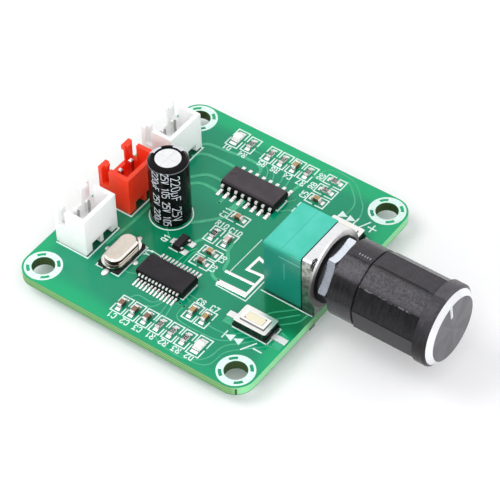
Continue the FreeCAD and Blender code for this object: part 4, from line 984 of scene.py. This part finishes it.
# %% Stroke font
INK_WIDTH = 0.18
INK_LOW, INK_HIGH = -0.01, 0.032
LETTERS = {
    "0": [[(1, 0), (3, 0), (4, 1), (4, 5), (3, 6), (1, 6), (0, 5), (0, 1), (1, 0)]],
    "1": [[(0.8, 4.8), (2.2, 6), (2.2, 0)]],
    "2": [[(0, 5), (1, 6), (3, 6), (4, 5), (4, 4), (0, 0), (4, 0)]],
    "3": [[(0, 6), (4, 6), (2, 3.6), (3, 3.6), (4, 2.6), (4, 1), (3, 0), (1, 0), (0, 1)]],
    "4": [[(3, 0), (3, 6), (0, 2), (4, 2)]],
    "5": [[(4, 6), (0, 6), (0, 3.5), (3, 3.5), (4, 2.6), (4, 1), (3, 0), (0, 0)]],
    "6": [[(4, 5), (3, 6), (1, 6), (0, 5), (0, 1), (1, 0), (3, 0), (4, 1), (4, 2.4), (3, 3.4), (0, 3.4)]],
    "7": [[(0, 6), (4, 6), (1.5, 0)]],
    "8": [[(1, 3.2), (0, 4), (0, 5), (1, 6), (3, 6), (4, 5), (4, 4), (3, 3.2), (1, 3.2)],
          [(1, 3.2), (0, 2.3), (0, 1), (1, 0), (3, 0), (4, 1), (4, 2.3), (3, 3.2)]],
    "9": [[(0, 1), (1, 0), (3, 0), (4, 1), (4, 5), (3, 6), (1, 6), (0, 5), (0, 3.8), (1, 2.8), (4, 2.8)]],
    "C": [[(4, 5), (3, 6), (1, 6), (0, 5), (0, 1), (1, 0), (3, 0), (4, 1)]],
    "D": [[(0, 0), (0, 6), (2.5, 6), (4, 4.5), (4, 1.5), (2.5, 0), (0, 0)]],
    "R": [[(0, 0), (0, 6), (3, 6), (4, 5), (4, 4), (3, 3), (0, 3)], [(2, 3), (4, 0)]],
    "Q": [[(1, 0), (3, 0), (4, 1), (4, 5), (3, 6), (1, 6), (0, 5), (0, 1), (1, 0)], [(2.4, 1.6), (4.2, -0.4)]],
    "Y": [[(0, 6), (2, 3.2), (4, 6)], [(2, 3.2), (2, 0)]],
    "V": [[(0, 6), (2, 0), (4, 6)]],
    "u": [[(0, 4), (0, 1), (1, 0), (2.6, 0), (3.4, 1), (3.4, 4)], [(0, 4), (0, -1.6)]],
    "F": [[(4, 6), (0, 6), (0, 0)], [(0, 3.2), (3, 3.2)]],
    " ": [],
}


def written(text, centre, angle, height, spread=6.3, squeeze=0.78):
    """The strokes of a word, centred on a point and turned by an angle in degrees."""
    unit = height / 6
    span = (len(text) * spread - (spread - 4)) * squeeze
    turn = Matrix.Rotation(math.radians(angle), 2)
    strokes = []
    for place, letter in enumerate(text):
        for stroke in LETTERS[letter]:
            spots = []
            for x, y in stroke:
                spot = turn @ Vector((((x + place * spread) * squeeze - span / 2) * unit, (y - 3) * unit))
                spots.append((centre[0] + spot.x, centre[1] + spot.y))
            strokes.append(spots)
    return strokes


def inked(shape, path, width=INK_WIDTH, closed=False):
    """A printed line on the lacquer."""
    shape.ribbon(path, width, INK_LOW, INK_HIGH, closed)


print("letters:", "".join(LETTERS))

# %% [markdown]
# ### The numbers beside the parts
# Each chip part's number stands beside it. Those of one row read the same way, so a row is one entry: the words,
# where the first stands, the step to the next, and the way they read. The capital letter says what the part is:
# C for a capacitor, R for a resistor, D for a lamp, Q for the transistor and Y for the crystal.

# %% Numbers
ink = Finish("print_white", paint(222, 246, 238), 0.5)
ink.feed("Base Color", ink.clouds(paint(212, 242, 234), paint(234, 250, 244), 2.4, 3.0, 0.35, 0.65))
ink.feed("Roughness", 0.4 + ink.noise(3.0) * 0.2)
LETTER_HEIGHT = 0.92
ROWS = [
    (["C1", "C2", "C3", "R1", "R2", "R3", "D2"], (-21.1, 3.35), (0.0, -2.345), 90),
    (["C6", "C7"], (-11.62, -5.85), (0.0, -2.45), -90),
    (["D1"], (16.6, 10.35), (0, 0), 90),
    (["R4"], (16.62, 7.45), (0, 0), 90),
    (["R5", "R6", "C4", "R7"], (16.72, 3.75), (0, -2.42), 90),
    (["C5", "R8", "R9"], (15.0, -5.4), (2.3, 0), 0),
    (["C11"], (5.1, 2.1), (0, 0), 0),
    (["C10"], (2.65, -1.6), (0, 0), -90),
    (["C8", "C9"], (-3.0, -3.28), (-2.3, 0.05), 0),
    (["R10"], (2.75, 0.95), (0, 0), -90),
    (["Q1"], (-4.35, 6.3), (0, 0), 0),
    (["Y1"], (-8.2, 6.55), (0, 0), 0),
]
numbers = Shape()
for words, (x, y), (dx, dy), angle in ROWS:
    for place, word in enumerate(words):
        for stroke in written(word, (x + dx * place, y + dy * place), angle, LETTER_HEIGHT):
            inked(numbers, stroke)
numbers.piece("printed_numbers", [ink], "solder_mask")

# %% [markdown]
# ### Outlines, rings and signs
# The printed outlines follow the parts: a rectangle with two gaps round each chip part, frames round the sockets
# and the switch, a circle for the capacitor, short end lines for the two chips. Round each screw hole is a broad
# ring with four slots in it. The signs by the switches are the usual ones for previous and next track, and minus
# and plus for the volume.

# %% Outlines
PART_HALF_LONG, PART_HALF_WIDE, PART_GAP = 1.65, 0.95, 0.3
LAMP_HALF_LONG, LAMP_HALF_WIDE = 1.9, 1.08
SOCKETS_X = (-SOCKET_STEP, 0.0, SOCKET_STEP)
outlines = Shape()


def line(points, width=0.2):
    inked(outlines, points, width)


def gapped_frame(centre, half_long, half_wide, upright_part):
    """Two brackets that face each other round a chip part."""
    for end in (-1, 1):
        bracket = [(end * PART_GAP, half_wide), (end * half_long, half_wide), (end * half_long, -half_wide),
                   (end * PART_GAP, -half_wide)]
        if upright_part:
            bracket = [(y, x) for x, y in bracket]
        line([(centre[0] + x, centre[1] + y) for x, y in bracket])


def middle_and_turn(node):
    low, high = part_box(node)
    size = (high - low) / MM
    centre = (low + high) / 2 / MM
    return centre, size, size.y > size.x


small_parts = sorted(n for n in frame["nodes"] if n.startswith(("chip_capacitor", "chip_resistor")))
lamps = sorted(n for n in frame["nodes"] if n.endswith("_lamp"))
for node in small_parts + lamps:
    centre, _, upright_part = middle_and_turn(node)
    is_lamp = node in lamps
    gapped_frame(centre, LAMP_HALF_LONG if is_lamp else PART_HALF_LONG,
                 LAMP_HALF_WIDE if is_lamp else PART_HALF_WIDE, upright_part)
for x in SOCKETS_X:
    left, right = x - SOCKET_HALF, x + SOCKET_HALF
    line([(left, SOCKET_BACK), (left, SOCKET_FRONT), (right, SOCKET_FRONT), (right, SOCKET_BACK)], 0.25)
inked(outlines, arc((CAN_X, CAN_Y), 3.34, 0, 352.5, 47), 0.2, closed=True)
print("frames of", len(small_parts + lamps), "small parts")

# %% Lines by the chips
SWITCH_FRAME_X = 11.07
line([(12.32, -3.75), (12.35, -4.16), (9.8, -4.16), (9.86, -3.72)])
gapped_frame((12.15, -6.95), 1.15, PART_HALF_WIDE, False)  # the control covers the rest of this frame
line([(-12.85, -3.0), (-12.85, -3.38), (-9.35, -3.38), (-9.35, -2.9)])
line([(-12.4, 5.25), (-9.0, 5.25)], 0.1)
line([(-8.1, 7.1), (-7.6, 6.3), (-7.75, 4.6)], 0.14)
line([(-14.6, 8.6), (-14.6, 7.3), (-7.5, 7.3), (-7.5, 11.46), (-14.6, 11.46), (-14.6, 10.3)])
line([(-5.62, 4.69), (-5.67, 3.1)])
line([(-4.96, 4.66), (-3.46, 4.66)])
line([(-2.7, 2.55), (-2.7, 4.66)])
line([(-7.71, -5.61), (-7.78, -11.05), (-2.0, -11.05)])
line([(-7.71, -5.61), (-6.98, -5.63)])
line([(-4.3, -5.68), (3.6, -5.76)], 0.13)
line([(-4.68, -11.63), (-4.68, -20.7), (-3.9, -20.7)], 0.18)
for x in (-SWITCH_FRAME_X, SWITCH_FRAME_X):
    line([(x - 1.8, -18.52), (x - 1.8, -12.42), (x + 1.75, -12.42), (x + 1.75, -18.52), (x - 1.8, -18.52)])
outlines.piece("printed_outlines", [ink], "solder_mask")

# %% Rings
RING_IN, RING_SLOT_IN, RING_SLOT_OUT, RING_OUT = 1.80, 2.06, 2.60, 2.92
OVERLAP = 0.01
SLOT_HALF = 21
signs = Shape()
for x in (-HOLE_X, HOLE_X):
    for y in (-HOLE_Y, HOLE_Y):
        for low, high in ((RING_IN, RING_SLOT_IN + OVERLAP), (RING_SLOT_OUT - OVERLAP, RING_OUT)):
            inked(signs, arc((x, y), (low + high) / 2, 0, 354, 59), high - low, closed=True)
        for middle in (0, 90, 180, 270):
            reach = (RING_SLOT_IN + RING_SLOT_OUT) / 2
            band = arc((x, y), reach, middle - 45 + SLOT_HALF, middle + 45 - SLOT_HALF, 12)
            inked(signs, band, RING_SLOT_OUT - RING_SLOT_IN)
print("four rings")

# %% Signs
BAR, SIGN_STROKE = 0.2, 0.22
# a width for a stroke, none for a triangle
SIGNS = [
    (None, [(-14.68, -12.45), (-15.30, -13.84), (-13.89, -13.81)]),
    (None, [(-14.64, -13.88), (-15.26, -15.23), (-13.84, -15.21)]),
    (BAR, [(-13.95, -12.33), (-15.38, -12.36)]),
    (SIGN_STROKE, [(-13.5, -17.19), (-15.75, -15.98)]),
    (SIGN_STROKE, [(-14.56, -17.33), (-14.59, -18.78)]),
    (None, [(15.51, -12.25), (14.0, -12.14), (14.86, -13.58)]),
    (None, [(15.44, -13.68), (14.06, -13.73), (14.81, -15.06)]),
    (BAR, [(15.48, -15.16), (14.1, -15.07)]),
    (SIGN_STROKE, [(13.9, -16.1), (15.89, -17.05)]),
    (SIGN_STROKE, [(14.13, -18.0), (15.67, -18.0)]),
    (SIGN_STROKE, [(14.9, -17.3), (14.9, -18.7)]),
]
for width, points in SIGNS:
    if width:
        inked(signs, points, width)
    else:
        signs.prism(points, INK_LOW, INK_HIGH)
signs.piece("printed_rings_and_signs", [ink], "solder_mask")

# %% [markdown]
# ## The printed aerial
# The radio's aerial is a track of bare tinned copper, folded to and fro, with no lacquer on it. Its first bar is
# broad because it is the ground leg. It is built like the tracks, but with sharp corners and a bright finish.

# %% Aerial
AERIAL_LOW, AERIAL_HIGH = -0.02, 0.05
AERIAL_BARS = [
    (0.95, [(-6.96, -5.62), (-6.80, -10.05)]),
    (0.5, [(-4.63, -5.2), (-4.44, -10.3)]),
    (0.5, [(-7.1, -10.38), (-2.62, -10.38), (-2.3, -10.1), (-2.53, -7.54), (0.33, -7.66), (0.05, -8.6)]),
]
aerial = Shape()
for width, path in AERIAL_BARS:
    aerial.ribbon(path, width, AERIAL_LOW, AERIAL_HIGH)
aerial.piece("printed_aerial", [aerial_tin], "tinned_metal", bevel=0.02)

# %% [markdown]
# ## Chip parts
# A ceramic chip part is a tiny block with a silver cap over each end. The capacitor's block is brown ceramic, as
# high as it is wide, with a painted shade and reflection on its upright sides; the resistor's is white alumina with
# a black glaze on top that carries its value in figures.
# The CAD node is one block, so a piece with separate caps takes its place. Its size comes from the node's own
# box, so it always stands where the CAD says, and a bevel rounds the edges that real caps have from dipping.

# %% Chip part finishes
# the capacitors' upright sides get a painted shade and reflection
tan_ceramic = moulded("tan_ceramic", paint(184, 152, 104), paint(168, 136, 92), 0.5, shaded_sides=paint(84, 62, 48))
brown_ceramic = moulded("brown_ceramic", paint(144, 112, 92), paint(128, 98, 80), 0.45, shaded_sides=paint(62, 44, 36))
pink_ceramic = moulded("pink_ceramic", paint(228, 208, 202), paint(214, 192, 186), 0.45, shaded_sides=paint(120, 84, 66))
alumina = moulded("alumina", paint(226, 224, 216), paint(214, 212, 205), 0.55)
resistor_glaze = moulded("resistor_glaze", paint(30, 30, 33), paint(38, 37, 40), 0.22, Coat_Weight=0.3)
matt_glaze = moulded("matt_glaze", paint(16, 16, 18), paint(22, 22, 24), 0.5, Specular_IOR_Level=0.15)
value_ink = moulded("value_ink", paint(210, 208, 204), paint(196, 194, 190), 0.5)
cap_silver = bare_metal("end_cap_silver", paint(236, 235, 233), paint(214, 213, 210), 0.3, 0.16, 2.5)
print("chip part finishes made")

# %% Chip parts
END_CAP = 0.33
CAP_SKIN = 0.02
BLOCK_DROP = 0.06
GLAZE_INSET, GLAZE_DEPTH, GLAZE_DROP = 0.05, 0.07, 0.005
LIGHT_CAPACITORS, PINK_CAPACITOR = (4, 5, 6, 7, 8, 11), 10
MATT_RESISTOR = 10
VALUE_HEIGHT, VALUE_SPREAD, VALUE_STROKE = 0.42, 5.2, 0.07
VALUES = ["103", "103", "472", "102", "203", "203", "103", "472", "102", "0"]


def turned_spot(centre, upright_part, x, y, z):
    return (centre[0] - y, centre[1] + x, z) if upright_part else (centre[0] + x, centre[1] + y, z)


def chip_piece(node):
    centre, size, upright_part = middle_and_turn(node)
    low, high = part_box(node)
    long_half, wide_half = max(size.x, size.y) / 2, min(size.x, size.y) / 2
    bottom, top = low.z / MM, high.z / MM
    number = int(node.rsplit("_", 1)[1])
    shape = Shape()

    def box_part(x0, x1, half, z0, z1, kind):
        corners = [(x0, -half), (x1, -half), (x1, half), (x0, half)]
        shape.loft([[turned_spot(centre, upright_part, x, y, z) for x, y in corners] for z in (z0, z1)], kind)

    inner = long_half - END_CAP + 0.02
    for end in (-1, 1):
        x0, x1 = sorted((end * (long_half - END_CAP), end * long_half))
        box_part(x0, x1, wide_half, bottom, top, 1)
    if node.startswith("chip_resistor"):
        box_part(-inner, inner, wide_half - CAP_SKIN, bottom + CAP_SKIN, top - BLOCK_DROP, 0)
        box_part(-inner, inner, wide_half - GLAZE_INSET, top - GLAZE_DEPTH, top - GLAZE_DROP, 2)
        for stroke in written(VALUES[number - 1], centre, 270 if upright_part else 180, VALUE_HEIGHT,
                              VALUE_SPREAD, 1.0):
            shape.ribbon(stroke, VALUE_STROKE, top - 0.01, top + 0.002, kind=3)
        finishes = [alumina, cap_silver, matt_glaze if number == MATT_RESISTOR else resistor_glaze, value_ink]
    else:
        box_part(-inner, inner, wide_half - CAP_SKIN, bottom + CAP_SKIN, top - CAP_SKIN, 0)
        ceramic = tan_ceramic if number in LIGHT_CAPACITORS else brown_ceramic
        finishes = [pink_ceramic if number == PINK_CAPACITOR else ceramic, cap_silver]
    piece = shape.piece(node + "_dressed", finishes, slot_of[node], bevel=0.045)
    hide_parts(node)


for node in small_parts:
    chip_piece(node)
print(len(small_parts), "chip parts")

# %% [markdown]
# ## Indicator lamps
# A chip lamp is a white carrier with a silver cap at each end and a milky resin block in the middle. The resin
# block is drawn in towards its top, because it has to leave its mould.

# %% Lamps on the board
LAMP_CAP, CAP_INSET = 0.4, 0.02
CARRIER_HIGH, CARRIER_INSET = 0.45, 0.03
LENS_HALF = 0.62
LENS_DRAW = ((-0.1, 0.05), (0.0, 0.12))
lamp_white = moulded("lamp_white", paint(254, 254, 252), paint(250, 250, 247), 0.4)
lamp_resin = Finish("lamp_resin", paint(254, 254, 250), 0.22, Coat_Weight=0.4)
lamp_resin.feed("Base Color", lamp_resin.clouds(paint(254, 254, 251), paint(248, 250, 244), 1.2))
lamp_resin.feed("Roughness", 0.18 + lamp_resin.noise(2.0) * 0.14)
for node in lamps:
    (mid_x, mid_y, _), size, _ = middle_and_turn(node)
    low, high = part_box(node)
    bottom, top, half_x, half_y = low.z / MM, high.z / MM, size.x / 2, size.y / 2
    base_top = bottom + CARRIER_HIGH
    lamp = Shape()
    lamp.block((mid_x - half_x + CARRIER_INSET, mid_y - half_y, bottom),
               (mid_x + half_x - CARRIER_INSET, mid_y + half_y, base_top))
    for end in (-1, 1):
        x0, x1 = sorted((mid_x + end * (half_x - LAMP_CAP), mid_x + end * half_x))
        lamp.block((x0, mid_y - half_y + CAP_INSET, bottom), (x1, mid_y + half_y - CAP_INSET, base_top + 0.015), 1)
    lens = [(base_top - 0.01, 0.0)] + [(top + drop, draw) for drop, draw in LENS_DRAW]
    lamp.loft([[(mid_x + x * (LENS_HALF - draw), mid_y + y * (half_y - 0.01 - draw), z) for x, y in CORNERS]
               for z, draw in lens], 2)
    piece = lamp.piece(node + "_dressed", [lamp_white, cap_silver, lamp_resin], slot_of[node], bevel=0.05)
    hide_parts(node)

# %% [markdown]
# ## Solder
# Every part stands in solder. On the pads of the chip parts the solder climbs the silver end in a hollow curve; a
# chip's bent lead ends in a low mound with a shiny toe; on the underside each pin comes through a small cone. All
# of these are lofts of a few rings with rounded edges. They are geometry and not bump, because their highlights
# are what the eye reads as solder.

# %% Solder on the chip parts
PAD_LOW = -0.02
SHARPER = 0.035
UNDER_CAP = 0.30
joints = Shape()
# the ramp's section, from its foot on the pad to its top on the cap, and where the cap stands in it
FILLET_CAP = 0.80
FILLET = [(1.32, 0.06), (1.26, 0.10), (1.08, 0.12), (0.92, 0.17), (0.84, 0.30), (0.81, 0.40)]


def fillet(centre, upright_part, end, reach, height, half_wide):
    """A hollow ramp of solder from the pad's outer end up the side of a silver cap."""
    scale_z = height / FILLET[-1][1]
    inner = reach - UNDER_CAP
    rings = []
    for step, (x, z) in enumerate(FILLET):
        half = half_wide * (1 - SHARPER * step)
        out = reach - FILLET_CAP + x
        ring = [(inner, -half), (out, -half), (out, half), (inner, half)]
        rings.append([turned_spot(centre, upright_part, end * px, py if end > 0 else -py, z * scale_z)
                      for px, py in ring])
    base = [(px, py, PAD_LOW) for px, py, _ in rings[0]]
    joints.loft([base] + rings)


for node in small_parts + lamps:
    centre, size, upright_part = middle_and_turn(node)
    reach = max(size.x, size.y) / 2
    height = min(size.z * 0.6, 0.36)
    for end in (-1, 1):
        fillet(centre, upright_part, end, reach, height, min(size.x, size.y) / 2 + 0.02)
joints.piece("chip_part_solder", [solder], "tinned_metal", bevel=0.03)

# %% Solder on the chips
FOOT_HIGH = 0.24
PAD_SECTION = ((PAD_LOW, 0.0), (0.05, 0.0), (0.10, 0.07))
HEEL, TOE = 0.25, 0.22
TRANSISTOR_PADS = ((-4.15, 4.75), (-5.1, 2.25), (-3.2, 2.25))
# a chip's middle, its leads on a side, their pitch, half a pad's width, and a pad's inner and outer end
CHIPS = [((10.97, 0.97), 8, 1.27, 0.31, 2.30, 3.66), ((-10.95, 0.95), 12, 0.635, 0.19, 2.30, 3.84)]
FOOT_X = 3.0
pads = Shape()


def bar(x_from, x_to, y, half, z):
    """Four corners round a line along X, anticlockwise from above."""
    low, high = sorted((x_from, x_to))
    return [(low, y - half, z), (high, y - half, z), (high, y + half, z), (low, y + half, z)]


def pad_mound(x_in, x_out, y, half_wide, toe):
    """A flat pad of solder that a bent lead's foot lies in, with a low ramp beyond its toe."""
    way = 1 if x_out > x_in else -1
    pads.loft([bar(x_in + way * inset, x_out - way * inset, y, half_wide - inset * 0.6, z)
               for z, inset in PAD_SECTION])
    half = half_wide * 0.78
    pads.loft([bar(toe - way * HEEL, toe + way * TOE, y, half, 0.06),
               bar(toe - way * HEEL, toe, y, half * 0.8, FOOT_HIGH)])


for (x, y), count, pitch, half_wide, x_in, x_out in CHIPS:
    for place in range(count):
        at = y + (place - (count - 1) / 2) * pitch
        for side in (-1, 1):
            pad_mound(x + side * x_in, x + side * x_out, at, half_wide, x + side * FOOT_X)
for x, y in TRANSISTOR_PADS:
    pads.block((x - 0.52, y - 0.56, PAD_LOW), (x + 0.52, y + 0.56, 0.09))
for x in (-SWITCH_X, SWITCH_X):
    for low, high in ((-11.7, -10.35), (-20.75, -19.0)):
        pads.block((x - 0.56, low, PAD_LOW), (x + 0.56, high, 0.14))
pads.piece("pad_solder", [solder], "tinned_metal", bevel=0.035)

# %% [markdown]
# ### Solder under the board
# The underside is seen only when the board is picked up, but then it's what shows that the sockets, the capacitor
# and the volume control are real parts with pins. Each cone is a ring lofted to a smaller one round its pin.

# %% Solder cones
PIN_APART = 1.25
SOCKET_PIN_Y = 16.9
LUG_Y = -19.98
# where the cones of one kind stand, their reach at the board, their reach at the tip and their height
CONES = [
    ([(x + dx, SOCKET_PIN_Y) for x in SOCKETS_X for dx in (-PIN_APART, PIN_APART)], 0.95, 0.5, 0.9),
    ([(CAN_X + dx, CAN_Y) for dx in (-PIN_APART, PIN_APART)], 0.8, 0.32, 0.7),
    ([(x, y) for y in (-13.4, -16.6) for x in (-2.5, 0.0, 2.5)], 0.9, 0.46, 0.9),
    ([(x, LUG_Y) for x in (-4.0, 4.0)], 0.98, 0.74, 0.6),
]
cones = Shape()
for spots, reach, tip, height in CONES:
    for spot in spots:
        rings = []
        for share in (0.0, 0.25, 0.6, 1.0):
            size = tip + (reach - tip) * (1 - share) ** 1.8
            z = UNDERSIDE + TRACK_HALF - height * share
            rings.append([(px, py, z) for px, py in reversed(arc(spot, size, 0, 337.5, 15))])
        cones.loft(rings)
cones.piece("underside_solder", [solder], "tinned_metal", smooth=True)

# %% [markdown]
# ## Round pads, the crystal's seat and vias
# The crystal's case pads are round dots of solder at its sides, and its end lead sits in a larger blob. Its black
# seat has cut corners, so a prism is laid round the CAD base. A via is a plated hole from side to side; from above
# it's a tiny ring round a black disc that is a painted shade for the dark hole.

# %% Crystal solder
# where a dot lies, its reach, its height and how far it is squashed along Y
DOTS = [(-15.0, 9.4, 0.85, 0.3, 0.62), (-7.1, 9.4, 0.85, 0.3, 0.62), (-11.02, 12.05, 0.48, 0.16, 1.0),
        (-11.0, 6.9, 0.48, 0.16, 1.0)]
STEPS = 4
dots = Shape()
for x, y, reach, height, squash in DOTS:
    rings = []
    for step in range(STEPS + 1):
        share = step / STEPS * 0.96
        spots = arc((0, 0), reach * math.sqrt(1 - share ** 2), 0, 342, 19)
        rings.append([(x + px, y + py * squash, height * share) for px, py in spots])
    dots.loft([[(px, py, PAD_LOW) for px, py, _ in rings[0]]] + rings)
dots.piece("crystal_solder", [solder], "tinned_metal", smooth=True)

# %% Crystal seat
SEAT_MIDDLE = (-11.05, 9.38)
SEAT_X, SEAT_Y, CUT = 3.5, 1.98, 0.3
seat_outline = [(-SEAT_X + CUT, -SEAT_Y), (SEAT_X - CUT, -SEAT_Y), (SEAT_X, -SEAT_Y + CUT), (SEAT_X, SEAT_Y - CUT),
                (SEAT_X - CUT, SEAT_Y), (-SEAT_X + CUT, SEAT_Y), (-SEAT_X, SEAT_Y - CUT), (-SEAT_X, -SEAT_Y + CUT)]
seat = Shape()
seat.prism([(x + SEAT_MIDDLE[0], y + SEAT_MIDDLE[1]) for x, y in seat_outline], 0.03, 0.6)
seat.piece("crystal_seat", [black_plastic], "black_plastic", bevel=0.06)

# %% Vias
VIAS = [(6.13, 4.11), (-13.65, -3.47), (-13.79, -4.31), (-6.72, -5.35)]
ON_AERIAL = VIAS[-1]
HOLE_REACH, RIM_REACH, RIM_WIDTH = 0.16, 0.24, 0.12
hole_shades, rims = Shape(), Shape()
for via in VIAS:
    # a black disc stands in for the shade inside each via hole
    hole_shades.prism(arc(via, HOLE_REACH, 0, 330, 11), PAD_LOW, 0.062)
    if via != ON_AERIAL:
        rims.ribbon(arc(via, RIM_REACH, 0, 330, 11), RIM_WIDTH, PAD_LOW, 0.045, closed=True)
hole_shades.piece("via_hole_shades", [black_plastic], "black_plastic")
rims.piece("via_rims", [track_green], "solder_mask")

# %% [markdown]
# ## Print on the capacitor
# A capacitor's shrink sleeve carries its rating in silver letters that run down the side, and a pale stripe with
# minus signs on the side of the negative wire. The letters are the same stroke font, bent round the sleeve: a
# stroke's height becomes an angle. Long strokes are cut into short steps first, so that they follow the curve.

# %% Sleeve print
SLEEVE_RADIUS = 3.15
PRINT_STEP = 0.22
PRINT_MIDDLE, PRINT_STROKE = 6.15, 0.12
# the side that a column is on, its letters' height and pitch, and what it says
COLUMNS = [(-124, 1.36, 1.06, "220uF 25V"), (-153, 1.08, 0.74, "25V 105 25V 105"),
           (-182, 1.08, 0.76, "220uF 25V 220u")]


def round_the_sleeve(across_sleeve, up, out):
    angle = across_sleeve / SLEEVE_RADIUS
    reach = SLEEVE_RADIUS + out
    return (CAN_X + reach * math.cos(angle), CAN_Y + reach * math.sin(angle), up)


def stepped(path):
    spots = [path[0]]
    for (x0, y0), (x1, y1) in zip(path, path[1:]):
        parts = max(1, math.ceil(math.hypot(x1 - x0, y1 - y0) / PRINT_STEP))
        spots += [(x0 + (x1 - x0) * s / parts, y0 + (y1 - y0) * s / parts) for s in range(1, parts + 1)]
    return spots


silver_ink = moulded("silver_ink", paint(222, 225, 232), paint(200, 204, 213), 0.4)
sleeve_print = Shape()
for bearing, height, pitch, text in COLUMNS:
    middle = math.radians(bearing) * SLEEVE_RADIUS
    for stroke in written(text, (middle, PRINT_MIDDLE), -90, height, 6.0, pitch / height):
        sleeve_print.ribbon(stepped(stroke), PRINT_STROKE, -0.02, 0.012, wrap=round_the_sleeve)
print(len(sleeve_print.faces), "faces of letters")

# %% [markdown]
# ### The sleeve's stripe
# The stripe is a thin skin that follows the sleeve over its shoulder to the lip, so it is a loft of the sleeve's
# own section, turned about the can. It leaves a gap in its middle, where the minus signs stand.

# %% Stripe
STRIPE_BEARING = 41
STRIPE_BANDS = ((-61, -21), (21, 59))
BAND_STEPS = 12
MINUS_SIGNS, MINUS_LONG, MINUS_WIDE = (1.2, 3.6, 6.0, 8.4), 1.1, 0.5
SLEEVE_SIDE = [(3.13, 0.7), (3.17, 0.7), (3.17, 11.51), (2.66, 12.02), (2.3, 12.02), (2.3, 11.98), (2.64, 11.98),
               (3.13, 11.49)]
stripe_ink = moulded("stripe_ink", paint(214, 216, 222), paint(202, 204, 212), 0.4)
for start, end in STRIPE_BANDS:
    rings = []
    for step in range(BAND_STEPS + 1):
        angle = math.radians(STRIPE_BEARING + start + (end - start) * step / BAND_STEPS)
        rings.append([(CAN_X + r * math.cos(angle), CAN_Y + r * math.sin(angle), z) for r, z in SLEEVE_SIDE])
    sleeve_print.loft(rings, 1)
stripe_middle = math.radians(STRIPE_BEARING) * SLEEVE_RADIUS
for up in MINUS_SIGNS:
    sleeve_print.ribbon(stepped([(stripe_middle, up), (stripe_middle, up + MINUS_LONG)]), MINUS_WIDE, -0.02, 0.01,
                        kind=1, wrap=round_the_sleeve)
sleeve_print.piece("sleeve_print", [silver_ink, stripe_ink], "black_sleeve")

# %% [markdown]
# ## Size
# The dressed model's box is measured and printed beside the CAD model's box.

# %% Measure and finish
dressed_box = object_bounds()
sizes = {"cad": [list(corner) for corner in cad_box], "dressed": [list(corner) for corner in dressed_box]}
print("sizes in mm:", {name: [[round(c / MM, 2) for c in corner] for corner in box] for name, box in sizes.items()})
